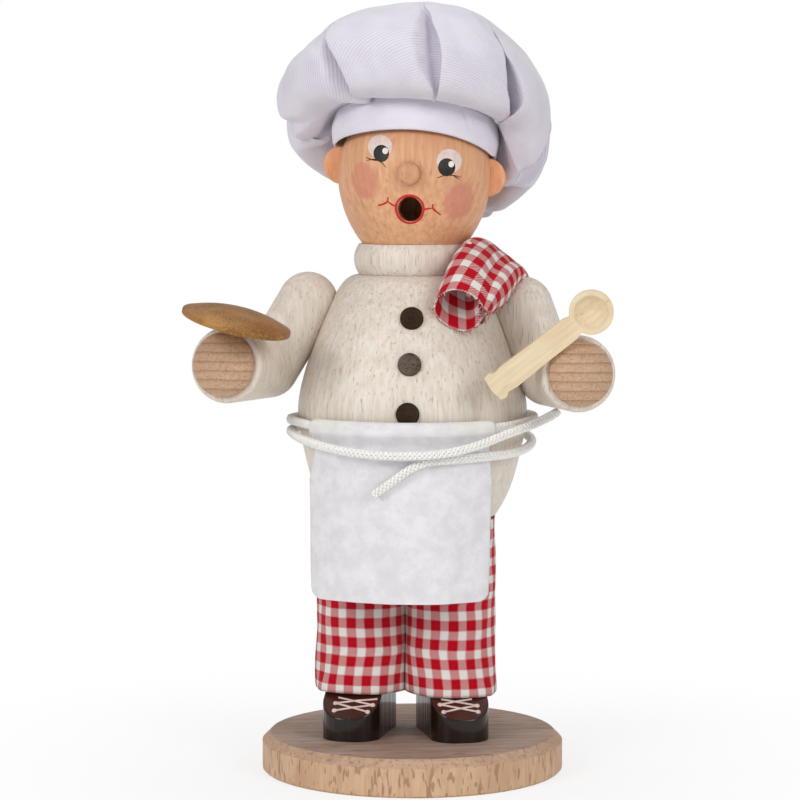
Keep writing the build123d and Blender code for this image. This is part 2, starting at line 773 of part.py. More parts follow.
def hat_ring(reach_share, height_share, droop_share, fold_share):
    """A closed ring in one tilted plane, drawn in at each crease."""
    places = []
    count = len(crease_angles)
    for i, angle in enumerate(crease_angles):
        following = crease_angles[(i + 1) % count] + (360 if i == count - 1 else 0)
        crease_share = 1 - crease_depth_share
        for at, share in ((angle, crease_share), ((angle + following) / 2, lobe_reach_shares[i])):
            reach = hat_radius * reach_share * (1 + (share - 1) * fold_share)
            droop = hat_droop / 2 * (1 - reach / hat_radius * cos(radians(at - hat_droop_start)))
            height = crown_foot - hat_overlap + hat_height * height_share - droop_share * droop
            places.append(round_waist(at, height, reach))
    return Wire([Spline(*places, periodic=True)])


crown = Solid.make_loft([hat_ring(*shares) for shares in hat_ring_shares])
crown -= rod((0, 0, -hat_height), (0, 0, crown_foot), hat_pocket_radius)
head_room = head_radius + cloth_gap
dome_room = sqrt(head_room**2 - crown_foot**2) + hat_pocket_room
crown -= rod((0, 0, crown_foot - hat_overlap), (0, 0, head_room), dome_room)
crown = hat_place * crown

save("base_plate", base)
for side in sides:
    save(f"shoe_{side}", shoes[side])
    save(f"leg_{side}", legs[side])
    save(f"ear_{side}", ears[side])
    upper_arm, forearm, hand, dowel, _ = arms[side]
    save(f"upper_arm_{side}", upper_arm)
    save(f"forearm_{side}", forearm)
    save(f"hand_{side}", hand)
    save(f"shoulder_dowel_{side}", dowel)
save("hip_block", hip)
save("incense_dish", dish)
save("dish_nail", nail)
save("trousers", trousers)
save("torso", torso)
save("neck_collar", collar)
save("head", head)
save("nose", nose)
for name, button in buttons.items():
    save(f"button_{name}", button)
save("apron", apron)
save("apron_string", apron_string)
save("golden_lid", lid)
save("wooden_spoon", spoon)
save("shoulder_towel", towel)
save("hat_band", band)
save("hat_crown", crown)
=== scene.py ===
import math

import bpy
import numpy as np
from mathutils import Matrix, Vector


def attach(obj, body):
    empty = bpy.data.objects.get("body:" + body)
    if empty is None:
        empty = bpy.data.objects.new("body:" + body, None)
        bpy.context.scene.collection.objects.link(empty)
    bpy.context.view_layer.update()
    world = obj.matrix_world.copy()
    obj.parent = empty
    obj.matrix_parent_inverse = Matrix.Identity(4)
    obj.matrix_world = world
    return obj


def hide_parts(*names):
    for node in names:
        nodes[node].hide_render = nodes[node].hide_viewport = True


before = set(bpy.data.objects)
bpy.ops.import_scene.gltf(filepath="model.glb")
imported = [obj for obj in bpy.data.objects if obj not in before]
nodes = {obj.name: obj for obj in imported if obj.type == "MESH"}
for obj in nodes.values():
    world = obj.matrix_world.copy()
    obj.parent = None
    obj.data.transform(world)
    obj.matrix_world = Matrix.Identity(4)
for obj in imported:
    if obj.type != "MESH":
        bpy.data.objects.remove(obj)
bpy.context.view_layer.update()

mm = 0.001
scene = bpy.context.scene
scene.view_settings.view_transform = "Standard"

# Camera, at the photograph's place
cameraSettings = {"place": (0.04719, -0.71906, 0.15287), "pitch": 85.18, "turn": 4.0, "lens": 131.1, "sensor": 36.0}
cameraData = bpy.data.cameras.new("camera")
cameraData.lens = cameraSettings["lens"]
cameraData.sensor_width = cameraSettings["sensor"]
camera = bpy.data.objects.new("camera", cameraData)
camera.location = cameraSettings["place"]
camera.rotation_euler = (math.radians(cameraSettings["pitch"]), 0, math.radians(cameraSettings["turn"]))
scene.collection.objects.link(camera)
scene.camera = camera
print("stage: frame and camera")


# Node helpers
def tint(red, green, blue):
    # a 0 to 255 screen colour as linear light
    values = np.array([red, green, blue]) / 255
    linear = np.where(values <= 0.04045, values / 12.92, ((values + 0.055) / 1.055) ** 2.4)
    return tuple(float(v) for v in linear) + (1.0,)


def put(tree, kind, inputs=(), **settings):
    # one node, its settings, and a value or a link for each input
    node = tree.nodes.new(kind)
    for key, value in settings.items():
        setattr(node, key, value)
    for key, value in dict(inputs).items():
        if isinstance(value, bpy.types.NodeSocket):
            tree.links.new(value, node.inputs[key])
        else:
            node.inputs[key].default_value = value
    return node


def newMaterial(name, **shader):
    material = bpy.data.materials.new(name)
    material.use_nodes = True
    tree = material.node_tree
    bsdf = tree.nodes["Principled BSDF"]
    for key, value in shader.items():
        bsdf.inputs[key.replace("_", " ")].default_value = value
    return material, tree, bsdf


def sums(tree, operation, a, b=0.0, c=0.0):
    return put(tree, "ShaderNodeMath", {0: a, 1: b, 2: c}, operation=operation).outputs[0]


def blended(tree, share, a, b, blend="MIX"):
    return put(tree, "ShaderNodeMix", {0: share, 6: a, 7: b}, data_type="RGBA", blend_type=blend).outputs[2]


def between(tree, value, low, high, bottom=0.0, top=1.0):
    # a smooth step from bottom at low to top at high
    inputs = {"Value": value, "From Min": low, "From Max": high, "To Min": bottom, "To Max": top}
    return put(tree, "ShaderNodeMapRange", inputs, interpolation_type="SMOOTHSTEP").outputs[0]


def noise(tree, place, scale, detail=2.0, rough=0.5):
    inputs = {"Vector": place, "Scale": scale, "Detail": detail, "Roughness": rough}
    return put(tree, "ShaderNodeTexNoise", inputs).outputs[0]


def scaled(tree, place, scale, turn=(0, 0, 0)):
    return put(tree, "ShaderNodeMapping", {"Vector": place, "Scale": scale, "Rotation": turn}).outputs[0]


def parts(tree, place):
    return put(tree, "ShaderNodeSeparateXYZ", {0: place}).outputs


def objectPlace(tree):
    return put(tree, "ShaderNodeTexCoord").outputs["Object"]


def finishShader(tree, bsdf, colour, height, relief, strength=1.0):
    # the colour and the relief, in mm, to the shader
    tree.links.new(colour, bsdf.inputs["Base Color"])
    bumps = put(tree, "ShaderNodeBump", {"Height": height, "Distance": relief * mm, "Strength": strength})
    tree.links.new(bumps.outputs[0], bsdf.inputs["Normal"])


# Wood: streaks, flecks, growth lines and clouds, all drawn out along the grain
def woodColour(tree, place, look):
    turn = Vector(look["grain"]).rotation_difference(Vector((0, 0, 1))).to_euler()
    moved = put(tree, "ShaderNodeVectorMath", {0: place, 1: [-v * mm for v in look["heart"]]}, operation="ADD")
    turned = scaled(tree, moved.outputs[0], (1, 1, 1), turn)
    streaks = noise(tree, scaled(tree, turned, (1, 1, look["streakLength"])), look["streakScale"], 4, 0.65)
    cloud = noise(tree, turned, look["cloudScale"], 2)
    spots = noise(tree, scaled(tree, turned, (1, 1, look["fleckLength"])), look["fleckScale"], 1, 0.4)
    fleck = between(tree, spots, look["fleckLow"], look["fleckLow"] + 0.06)
    lines = put(tree, "ShaderNodeTexWave", {
        "Vector": scaled(tree, turned, (1, 1, look["lineLength"])), "Scale": 0.314 / (look["lineSpacing"] * mm),
        "Distortion": look["lineBend"], "Detail": 2.0, "Detail Scale": look.get("lineDetail", 0.6),
        "Detail Roughness": 0.5}, wave_type=look.get("lineKind", "RINGS"), rings_direction="Z",
        bands_direction="Y", wave_profile="SAW").outputs["Fac"]
    lines = sums(tree, "POWER", lines, look.get("lineSharp", 1.5))
    colour = blended(tree, between(tree, streaks, 0.32, 0.68), look["light"], look["dark"])
    colour = blended(tree, between(tree, cloud, 0.35, 0.7, 0, look["cloudShare"]), colour, look["cloudColour"])
    colour = blended(tree, sums(tree, "MULTIPLY", lines, look["lineShare"]), colour, look["lineColour"])
    colour = blended(tree, sums(tree, "MULTIPLY", fleck, look["fleckShare"]), colour, look["fleckColour"])
    height = sums(tree, "MULTIPLY_ADD", streaks, 0.6, sums(tree, "MULTIPLY", fleck, -0.5))
    return colour, height


def woodMaterial(name, look, paint=None):
    material, tree, bsdf = newMaterial(name, Roughness=look["rough"], Coat_Weight=look["coat"], Coat_Roughness=0.35,
                                       Specular_IOR_Level=look.get("shine", 0.35))
    place = objectPlace(tree)
    colour, height = woodColour(tree, place, look)
    if paint:
        colour = paint(tree, place, colour)
    finishShader(tree, bsdf, colour, height, look["relief"])
    return material


creamLook = {
    "light": tint(233, 226, 215), "dark": tint(216, 204, 190), "rough": 0.5, "coat": 0.12,
    "streakScale": 1100, "streakLength": 0.035, "cloudScale": 45, "cloudColour": tint(206, 190, 173),
    "cloudShare": 0.35, "fleckScale": 2300, "fleckLength": 0.05, "fleckLow": 0.65, "fleckColour": tint(160, 134, 110),
    "fleckShare": 0.45, "lineSpacing": 3.2, "lineBend": 2.5, "lineShare": 0.14, "lineColour": tint(188, 170, 150),
    "lineLength": 0.22, "heart": (8, 34, 88), "grain": (0, 0, 1), "relief": 0.10,
}
skinLook = {
    "light": tint(229, 177, 135), "dark": tint(211, 155, 115), "rough": 0.52, "coat": 0.1,
    "streakScale": 900, "streakLength": 0.05, "cloudScale": 50, "cloudColour": tint(203, 141, 106),
    "cloudShare": 0.42, "fleckScale": 1000, "fleckLength": 0.12, "fleckLow": 0.66,
    "fleckColour": tint(170, 112, 78), "fleckShare": 0.32, "lineSpacing": 1.9, "lineBend": 1.4, "lineShare": 0.12,
    "lineColour": tint(196, 134, 98), "lineLength": 0.55, "heart": (2, 26, 134), "grain": (0, 0.35, 1),
    "relief": 0.06,
}
rimLook = {
    "light": tint(222, 190, 154), "dark": tint(198, 162, 126), "rough": 0.55, "coat": 0.0,
    "streakScale": 800, "streakLength": 0.10, "cloudScale": 70, "cloudColour": tint(196, 152, 122),
    "cloudShare": 0.6, "fleckScale": 1250, "fleckLength": 0.22, "fleckLow": 0.585,
    "fleckColour": tint(150, 106, 76), "fleckShare": 0.75, "lineSpacing": 5.0, "lineBend": 3.0, "lineShare": 0.12,
    "lineColour": tint(180, 140, 110), "lineLength": 0.2, "grain": (0, 0, 1), "heart": (10, 70, 0), "relief": 0.12,
}
# the base's top colours: its greyer wood, darkened further by painted shade so that the top reads as less lit than
# the rim
greyShadedTopLook = {
    "light": tint(196, 170, 152), "dark": tint(162, 136, 120), "rough": 0.5, "coat": 0.15,
    "streakScale": 900, "streakLength": 0.05, "cloudScale": 55, "cloudColour": tint(150, 118, 100),
    "cloudShare": 0.5, "fleckScale": 1400, "fleckLength": 0.10, "fleckLow": 0.62,
    "fleckColour": tint(104, 76, 62), "fleckShare": 0.6, "lineSpacing": 4.2, "lineBend": 1.2, "lineShare": 0.3,
    "lineColour": tint(132, 106, 92), "lineLength": 0.08, "grain": (1, 0.16, 0.0), "heart": (0, 30, -12),
    "relief": 0.08,
}
handLook = {
    "light": tint(205, 170, 140), "dark": tint(187, 151, 121), "rough": 0.58, "coat": 0.0,
    "streakScale": 1500, "streakLength": 0.3, "cloudScale": 120, "cloudColour": tint(190, 152, 122),
    "cloudShare": 0.35, "fleckScale": 2200, "fleckLength": 0.7, "fleckLow": 0.62,
    "fleckColour": tint(140, 100, 74), "fleckShare": 0.4, "lineSpacing": 2.2, "lineBend": 0.9, "lineShare": 0.75,
    "lineColour": tint(136, 100, 74), "lineLength": 1.0, "lineKind": "BANDS", "lineSharp": 5.0, "lineDetail": 1.2,
    "grain": (0, -1, 0.06), "heart": (0, 0, 0.5), "relief": 0.10,
}
dowelLook = dict(rimLook, fleckShare=0.4, light=tint(226, 200, 166), dark=tint(208, 178, 142))
spoonLook = {
    "light": tint(233, 215, 184), "dark": tint(222, 202, 168), "rough": 0.6, "coat": 0.0,
    "streakScale": 900, "streakLength": 0.06, "cloudScale": 90, "cloudColour": tint(216, 190, 148),
    "cloudShare": 0.4, "fleckScale": 1200, "fleckLength": 0.10, "fleckLow": 0.68,
    "fleckColour": tint(176, 146, 104), "fleckShare": 0.45, "lineSpacing": 2.4, "lineBend": 2.2, "lineShare": 0.18,
    "lineColour": tint(206, 178, 134), "lineLength": 0.12, "grain": (0.77, 0, 0.63), "heart": (0, 0, 2),
    "relief": 0.10,
}
buttonLook = {
    "light": tint(58, 38, 24), "dark": tint(42, 27, 17), "rough": 0.6, "coat": 0.0, "shine": 0.12,
    "streakScale": 1800, "streakLength": 0.6, "cloudScale": 200, "cloudColour": tint(70, 54, 42),
    "cloudShare": 0.5, "fleckScale": 3000, "fleckLength": 1.0, "fleckLow": 0.60,
    "fleckColour": tint(28, 20, 16), "fleckShare": 0.7, "lineSpacing": 1.2, "lineBend": 1.0, "lineShare": 0.2,
    "lineColour": tint(34, 26, 20), "lineLength": 1.0, "grain": (0, 1, 0), "heart": (0, 0, 0), "relief": 0.10,
}
earLook = dict(skinLook, light=tint(242, 176, 130), dark=tint(230, 158, 112), lineShare=0.08, cloudShare=0.25)
noseLook = dict(skinLook, light=tint(214, 160, 124), dark=tint(196, 142, 108), lineShare=0.3)
greyButtonLook = dict(buttonLook, light=tint(96, 82, 70), dark=tint(72, 60, 50), cloudColour=tint(122, 110, 98))

# Face colours on the ball: two sprayed blushes, and a brown painted shade round the nose
blushAndShadeSettings = (
    {"middle": (-10.95, -14.95, 146.45), "reach": 4.7, "soft": 1.3, "share": 0.6, "colour": tint(204, 122, 106)},
    {"middle": (12.21, -13.36, 141.62), "reach": 4.8, "soft": 1.3, "share": 0.6, "colour": tint(204, 122, 106)},
    # painted shade round the nose: a darker brown where the nose's shade falls on the face
    {"middle": (0.4, -18.9, 148.2), "reach": 3.4, "soft": 1.8, "share": 0.4, "colour": tint(178, 118, 86)},
)


def faceBlushAndShade(tree, place, colour):
    patchy = noise(tree, place, 480, 3)
    for blushOrShade in blushAndShadeSettings:
        middle = [v * mm for v in blushOrShade["middle"]]
        away = put(tree, "ShaderNodeVectorMath", {0: place, 1: middle}, operation="DISTANCE").outputs["Value"]
        edge = sums(tree, "MULTIPLY_ADD", patchy, 0.0016, away)
        high = (blushOrShade["reach"] + blushOrShade["soft"]) * mm
        mask = between(tree, edge, (blushOrShade["reach"] - 0.4) * mm, high, blushOrShade["share"], 0.0)
        colour = blended(tree, mask, colour, blushOrShade["colour"])
    return colour


# Base: a top that is greyer and darker, in part its own wood and in part painted shade, with lines along X, and an
# upright-flecked rim of several boards
def baseMaterial():
    material, tree, bsdf = newMaterial("baseWood", Roughness=rimLook["rough"])
    place = objectPlace(tree)
    rimColour, rimHeight = woodColour(tree, place, rimLook)
    across = parts(tree, place)[0]
    boards = noise(tree, put(tree, "ShaderNodeCombineXYZ", {0: sums(tree, "SNAP", across, 0.0115)}).outputs[0], 90, 0)
    rimColour = blended(tree, between(tree, boards, 0.3, 0.7, 0, 0.42), rimColour, tint(188, 142, 112))
    topColour, topHeight = woodColour(tree, place, greyShadedTopLook)
    upward = parts(tree, put(tree, "ShaderNodeNewGeometry").outputs["Normal"])[2]
    # faces that point up take the darker top colours, which hold painted shade
    share = between(tree, upward, 0.55, 0.9)
    colour = blended(tree, share, rimColour, topColour)
    height = blended(tree, share, rimHeight, topHeight)
    finishShader(tree, bsdf, colour, height, 0.12)
    return material


# Shoes: dark glossy lacquer, browner on the instep, with faint upright grooves on the sides
def lacquerMaterial():
    material, tree, bsdf = newMaterial("shoeLacquer", Roughness=0.3, Coat_Weight=0.45, Coat_Roughness=0.06,
                                       Specular_IOR_Level=0.15)
    place = objectPlace(tree)
    upward = parts(tree, put(tree, "ShaderNodeNewGeometry").outputs["Normal"])[2]
    top = between(tree, upward, 0.35, 0.75)
    uneven = noise(tree, place, 160, 3)
    sideColour = blended(tree, uneven, tint(18, 10, 7), tint(40, 25, 18))
    topColour = blended(tree, uneven, tint(52, 20, 14), tint(84, 40, 32))
    colour = blended(tree, top, sideColour, topColour)
    grooves = noise(tree, scaled(tree, place, (1, 1, 0.03)), 520, 1)
    flat = sums(tree, "MULTIPLY", top, -1.0)
    depth = sums(tree, "MULTIPLY", between(tree, grooves, 0.42, 0.6), sums(tree, "ADD", flat, 1.0))
    height = sums(tree, "MULTIPLY_ADD", noise(tree, place, 900, 2), 0.18, depth)
    finishShader(tree, bsdf, colour, height, 0.16, 0.7)
    return material


# Gold paint: bronze grains over larger patches
def goldMaterial():
    material, tree, bsdf = newMaterial("goldPaint", Metallic=0.4, Roughness=0.4, Specular_IOR_Level=0.25)
    place = objectPlace(tree)
    patches = noise(tree, place, 130, 4)
    grains = noise(tree, place, 2600, 2)
    colour = blended(tree, between(tree, patches, 0.35, 0.65), tint(134, 90, 42), tint(168, 120, 66))
    colour = blended(tree, between(tree, grains, 0.45, 0.7, 0, 0.5), colour, tint(206, 164, 104))
    height = sums(tree, "ADD", grains, sums(tree, "MULTIPLY", patches, 2.0))
    finishShader(tree, bsdf, colour, height, 0.05)
    return material


def steelMaterial():
    material, tree, bsdf = newMaterial("dishSteel", Metallic=0.9, Roughness=0.38)
    place = objectPlace(tree)
    stains = noise(tree, place, 220, 4)
    colour = blended(tree, between(tree, stains, 0.4, 0.7), tint(176, 172, 166), tint(138, 124, 106))
    finishShader(tree, bsdf, colour, noise(tree, scaled(tree, place, (1, 6, 1)), 900, 2), 0.02)
    return material


# Cloth, from an attribute that holds the place on the flat cloth in mm
clothName = "clothPlace"


def clothPlace(tree):
    return put(tree, "ShaderNodeAttribute", attribute_name=clothName).outputs["Vector"]


# Gingham: stripes of red and white both ways, and a two-over-two-under weave that shows one set of
# threads or the other, so a mixed square has fine slanting lines
ginghamSettings = {"across": 4.5, "along": 4.8, "thread": 0.15, "redShare": 0.54, "mixedShadeRed": 0.34}


def ginghamMaterial():
    material, tree, bsdf = newMaterial("gingham", Roughness=0.85, Sheen_Weight=0.05, Sheen_Roughness=0.5,
                                       Specular_IOR_Level=0.12)
    place = clothPlace(tree)
    wander = noise(tree, place, 0.35, 2)
    u, v = parts(tree, place)[:2]
    u = sums(tree, "MULTIPLY_ADD", wander, 0.5, u)
    v = sums(tree, "MULTIPLY_ADD", wander, -0.4, v)

    def stripe(value, period):
        position = sums(tree, "FRACT", sums(tree, "DIVIDE", value, period))
        return sums(tree, "LESS_THAN", position, ginghamSettings["redShare"])

    thread = ginghamSettings["thread"]
    column = sums(tree, "FLOOR", sums(tree, "DIVIDE", u, thread))
    row = sums(tree, "FLOOR", sums(tree, "DIVIDE", v, thread))
    step = sums(tree, "FLOORED_MODULO", sums(tree, "ADD", column, row), 4.0)
    over = sums(tree, "LESS_THAN", step, 1.5)
    upright = stripe(u, ginghamSettings["across"])
    level = stripe(v, ginghamSettings["along"])
    isRed = sums(tree, "ADD", sums(tree, "MULTIPLY", over, upright),
                 sums(tree, "MULTIPLY", sums(tree, "SUBTRACT", 1.0, over), level))
    fibres = noise(tree, scaled(tree, place, (6, 6, 1)), 1.4, 3)
    red = blended(tree, fibres, tint(158, 4, 20), tint(202, 8, 34))
    white = blended(tree, fibres, tint(214, 209, 204), tint(238, 234, 230))
    # a mixed square is pushed towards red: painted shade for the shade between its threads
    mixed = sums(tree, "ABSOLUTE", sums(tree, "SUBTRACT", upright, level))
    isRed = sums(tree, "MAXIMUM", isRed, sums(tree, "MULTIPLY", mixed, ginghamSettings["mixedShadeRed"]))
    colour = blended(tree, isRed, white, red)
    swellU = sums(tree, "PINGPONG", sums(tree, "DIVIDE", u, thread), 0.5)
    swellV = sums(tree, "PINGPONG", sums(tree, "DIVIDE", v, thread), 0.5)
    height = sums(tree, "ADD", swellU, sums(tree, "MULTIPLY_ADD", swellV, 1.0, fibres))
    finishShader(tree, bsdf, colour, height, 0.03, 0.6)
    return material


# White twill: raised ribs one way, broken by fine threads, with painted shade darkening the grooves between the ribs
def twillMaterial(name, ribTurn, spacing, grooveShadeShare, relief):
    material, tree, bsdf = newMaterial(name, Roughness=0.8, Sheen_Weight=0.3, Sheen_Roughness=0.45)
    place = clothPlace(tree)
    turned = scaled(tree, place, (1, 1, 1), (0, 0, math.radians(ribTurn)))
    x, y = parts(tree, turned)[:2]
    drift = sums(tree, "MULTIPLY", noise(tree, place, 0.25, 2), 0.5)
    rib = sums(tree, "FRACT", sums(tree, "DIVIDE", sums(tree, "ADD", y, drift), spacing))
    profile = sums(tree, "PINGPONG", rib, 0.5)
    slant = sums(tree, "MULTIPLY_ADD", x, 1.0, sums(tree, "MULTIPLY", y, 0.6))
    threads = sums(tree, "PINGPONG", sums(tree, "DIVIDE", slant, 0.34), 0.5)
    grooveShade = between(tree, profile, 0.06, 0.3, 1.0, 0.0)
    cloud = noise(tree, place, 0.12, 3)
    colour = blended(tree, between(tree, cloud, 0.35, 0.7), tint(226, 222, 231), tint(218, 213, 224))
    # painted shade in the grooves between the ribs
    colour = blended(tree, sums(tree, "MULTIPLY", grooveShade, grooveShadeShare), colour, tint(188, 180, 198))
    height = sums(tree, "MULTIPLY_ADD", threads, 0.25, profile)
    finishShader(tree, bsdf, colour, height, relief, 0.9)
    return material


# Felt: matted fibres in soft clouds, yellowed at the corners of the top hem
def feltMaterial():
    material, tree, bsdf = newMaterial("whiteFelt", Roughness=0.95, Sheen_Weight=0.4, Sheen_Roughness=0.6)
    place = objectPlace(tree)
    clouds = noise(tree, place, 260, 4, 0.6)
    fibres = put(tree, "ShaderNodeTexNoise", {
        "Vector": scaled(tree, place, (1, 1, 1.6)), "Scale": 1500, "Detail": 3.0, "Distortion": 1.5}).outputs[0]
    x, _, z = parts(tree, place)
    colour = blended(tree, between(tree, clouds, 0.3, 0.7), tint(220, 217, 221), tint(234, 232, 235))
    colour = blended(tree, between(tree, fibres, 0.55, 0.72, 0, 0.35), colour, tint(206, 205, 214))
    side = between(tree, sums(tree, "ABSOLUTE", sums(tree, "ADD", x, 0.002)), 0.008, 0.017)
    corner = sums(tree, "MULTIPLY", side, between(tree, z, 0.0845, 0.0885, 0, 0.32))
    colour = blended(tree, corner, colour, tint(226, 228, 196))
    height = sums(tree, "MULTIPLY_ADD", clouds, 1.4, fibres)
    finishShader(tree, bsdf, colour, height, 0.16, 0.8)
    return material


def braidMaterial():
    material, tree, bsdf = newMaterial("whiteBraid", Roughness=0.5, Sheen_Weight=0.3, Sheen_Roughness=0.4)
    place = clothPlace(tree)
    fibres = noise(tree, scaled(tree, place, (6, 1.0, 1)), 1.6, 3)
    colour = blended(tree, between(tree, fibres, 0.3, 0.7), tint(242, 239, 234), tint(252, 251, 248))
    finishShader(tree, bsdf, colour, fibres, 0.06, 0.8)
    return material


def paintMaterial(name, light, dark, rough=0.5, spots=900):
    # brushed paint, with a slight change of depth and a grainy surface
    material, tree, bsdf = newMaterial(name, Roughness=rough, Specular_IOR_Level=0.2)
    place = objectPlace(tree)
    uneven = noise(tree, place, spots, 3)
    colour = blended(tree, between(tree, uneven, 0.35, 0.7), light, dark)
    finishShader(tree, bsdf, colour, uneven, 0.03)
    return material


materials = {
    "cream": woodMaterial("creamWash", creamLook), "skin": woodMaterial("skinStain", skinLook, faceBlushAndShade),
    "ear": woodMaterial("earStain", earLook), "nose": woodMaterial("noseStain", noseLook),
    "base": baseMaterial(), "hand": woodMaterial("handBeech", handLook),
    "dowel": woodMaterial("plainDowel", dowelLook), "spoon": woodMaterial("spoonWood", spoonLook),
    "button": woodMaterial("darkStain", buttonLook), "greyButton": woodMaterial("greyStain", greyButtonLook),
    "lacquer": lacquerMaterial(), "gold": goldMaterial(),
    "steel": steelMaterial(), "gingham": ginghamMaterial(), "felt": feltMaterial(), "braid": braidMaterial(),
    "crownTwill": twillMaterial("crownTwill", 45, 0.66, 0.45, 0.15),
    "bandTwill": twillMaterial("bandTwill", 3, 0.5, 0.12, 0.05),
    "eyeWhite": paintMaterial("eyeWhite", tint(226, 208, 200), tint(216, 196, 188)),
    "iris": paintMaterial("irisPaint", tint(32, 31, 31), tint(46, 44, 42), 0.4),
    "glint": paintMaterial("glintPaint", tint(240, 236, 230), tint(228, 222, 214)),
    "lash": paintMaterial("lashPaint", tint(58, 38, 28), tint(84, 58, 44)),
    "lips": paintMaterial("lipPaint", tint(204, 48, 42), tint(184, 44, 38), 0.4),
    "lace": paintMaterial("lacePaint", tint(230, 208, 198), tint(214, 188, 178), 0.4),
    "glue": paintMaterial("glue", tint(236, 224, 200), tint(224, 210, 184), 0.25),
}
nodeMaterials = {
    "base_plate": "base", "shoe_right": "lacquer", "shoe_left": "lacquer", "leg_right": "dowel",
    "leg_left": "dowel", "hip_block": "dowel", "incense_dish": "steel", "dish_nail": "steel", "torso": "cream",
    "neck_collar": "cream", "head": "skin", "nose": "nose", "ear_right": "ear", "ear_left": "ear",
    "upper_arm_right": "cream", "upper_arm_left": "cream", "forearm_right": "cream", "forearm_left": "cream",
    "hand_right": "hand", "hand_left": "hand", "shoulder_dowel_right": "dowel", "shoulder_dowel_left": "dowel",
    "button_top": "button", "button_middle": "greyButton", "button_bottom": "button", "golden_lid": "gold",
    "wooden_spoon": "spoon",
}
for name, key in nodeMaterials.items():
    nodes[name].data.materials.clear()
    nodes[name].data.materials.append(materials[key])
print("stage: materials")


# Mesh helpers
def newPiece(name, places, faces, material, body, cloth=None):
    # a smooth mesh from places in mm; cloth holds each face corner's place on the flat cloth
    mesh = bpy.data.meshes.new(name)
    mesh.from_pydata((np.asarray(places, float).reshape(-1, 3) * mm).tolist(), [], np.asarray(faces).tolist())
    mesh.shade_smooth()
    if cloth is not None:
        flat = np.zeros((len(mesh.loops), 3))
        flat[:, :2] = cloth.reshape(-1, 2)
        attribute = mesh.attributes.new(clothName, "FLOAT_VECTOR", "CORNER")
        attribute.data.foreach_set("vector", flat.ravel())
    mesh.materials.append(materials[material])
    piece = bpy.data.objects.new(name, mesh)
    scene.collection.objects.link(piece)
    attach(piece, body)
    return piece


def gridFaces(rows, columns, closed=False, flip=False):
    index = np.arange(rows * columns).reshape(rows, columns)
    if closed:
        index = np.concatenate([index, index[:, :1]], axis=1)
    corners = [index[:-1, :-1], index[:-1, 1:], index[1:, 1:], index[1:, :-1]]
    if flip:
        corners = corners[::-1]
    return np.stack(corners, axis=-1).reshape(-1, 4)


def gridCloth(u, v, flip=False):
    # the corners' cloth places, from one more column than the mesh has where it closes on itself
    flat = np.stack([u, v], axis=-1)
    corners = [flat[:-1, :-1], flat[:-1, 1:], flat[1:, 1:], flat[1:, :-1]]
    if flip:
        corners = corners[::-1]
    return np.stack(corners, axis=2).reshape(-1, 2)


def through(values, at):
    # a smooth curve through the values, each one step apart: p1, p2 with slopes (p2 - p0) / 2 and (p3 - p1) / 2
    values = np.asarray(values, float)
    last = len(values) - 1
    at = np.clip(np.asarray(at, float), 0, last)
    i = np.minimum(np.floor(at).astype(int), last - 1)
    f = at - i
    if values.ndim > 1:
        f = f[..., None]
    p0, p1, p2, p3 = values[np.maximum(i - 1, 0)], values[i], values[i + 1], values[np.minimum(i + 2, last)]
    return 0.5 * (2 * p1 + (p2 - p0) * f + (2 * p0 - 5 * p1 + 4 * p2 - p3) * f**2
                  + (3 * p1 - p0 - 3 * p2 + p3) * f**3)


def step(value, low, high):
    # 0 below low, 1 above high, smooth between
    f = np.clip((value - low) / (high - low), 0, 1)
    return f * f * (3 - 2 * f)


def repeated(faces, count, size):
    # the same faces for count copies, whose places follow each other, size places to a copy
    return np.concatenate([faces + k * size for k in range(count)])


def alongRow(places):
    # the length along each row of places, from 0
    runs = np.linalg.norm(np.diff(places, axis=1), axis=2)
    return np.concatenate([np.zeros((len(places), 1)), np.cumsum(runs, axis=1)], axis=1)


def thicken(piece, thickness, offset=0.0):
    modifier = piece.modifiers.new("thickness", "SOLIDIFY")
    modifier.thickness = thickness * mm
    modifier.offset = offset


def areaOf(piece):
    graph = bpy.context.evaluated_depsgraph_get()
    mesh = piece.evaluated_get(graph).to_mesh()
    total = sum(face.area for face in mesh.polygons)
    piece.evaluated_get(graph).to_mesh_clear()
    return total


# Apron string: one braided cord from its lower loose end, through the knot, twice round the waist and
# back through the knot to its upper loose end. Its route is angle from the front, height and reach in mm.
stringSettings = {"radius": 1.05, "strands": 4, "lay": 0.76, "swing": 0.12, "pitch": 4.6, "spacing": 0.38,
                  "flat": 0.31, "wide": 0.52, "sides": 6, "length": 443.5}
stringRoute = (
    (-13.4, 71.9, 31.1), (-6.5, 74.6, 31.2), (0.8, 77.6, 31.2), (9.0, 79.9, 31.0), (20.0, 80.2, 31.2),
    (36.0, 80.5, 31.4), (58.0, 80.6, 30.7), (82.0, 81.6, 30.2), (106.0, 82.6, 30.4), (130.0, 83.4, 30.6),
    (154.0, 84.3, 30.6), (178.0, 85.3, 30.6), (202.0, 86.2, 30.6), (226.0, 86.8, 30.7), (250.0, 87.1, 30.7),
    (274.0, 87.5, 30.8), (296.0, 87.7, 30.6), (316.0, 87.1, 30.35), (338.0, 87.0, 30.35), (0.5, 86.9, 30.35),
    (23.0, 87.0, 30.35), (44.0, 87.2, 30.4), (64.0, 87.6, 30.8), (86.0, 88.1, 30.8), (110.0, 87.9, 30.8),
    (134.0, 87.4, 31.0), (156.0, 86.9, 31.9), (176.0, 86.2, 33.1), (198.0, 85.4, 33.4), (219.0, 84.7, 32.6),
    (241.0, 84.3, 31.4), (265.0, 84.5, 30.8), (289.0, 84.8, 30.9), (310.0, 84.0, 32.9), (330.0, 82.3, 33.0),
    (349.0, 81.4, 33.1), (4.0, 81.5, 33.4), (17.0, 82.0, 34.2), (31.0, 83.6, 34.0), (46.0, 86.0, 33.6),
    (61.0, 87.4, 33.9), (72.0, 88.6, 35.0), (79.5, 89.9, 36.6),
)


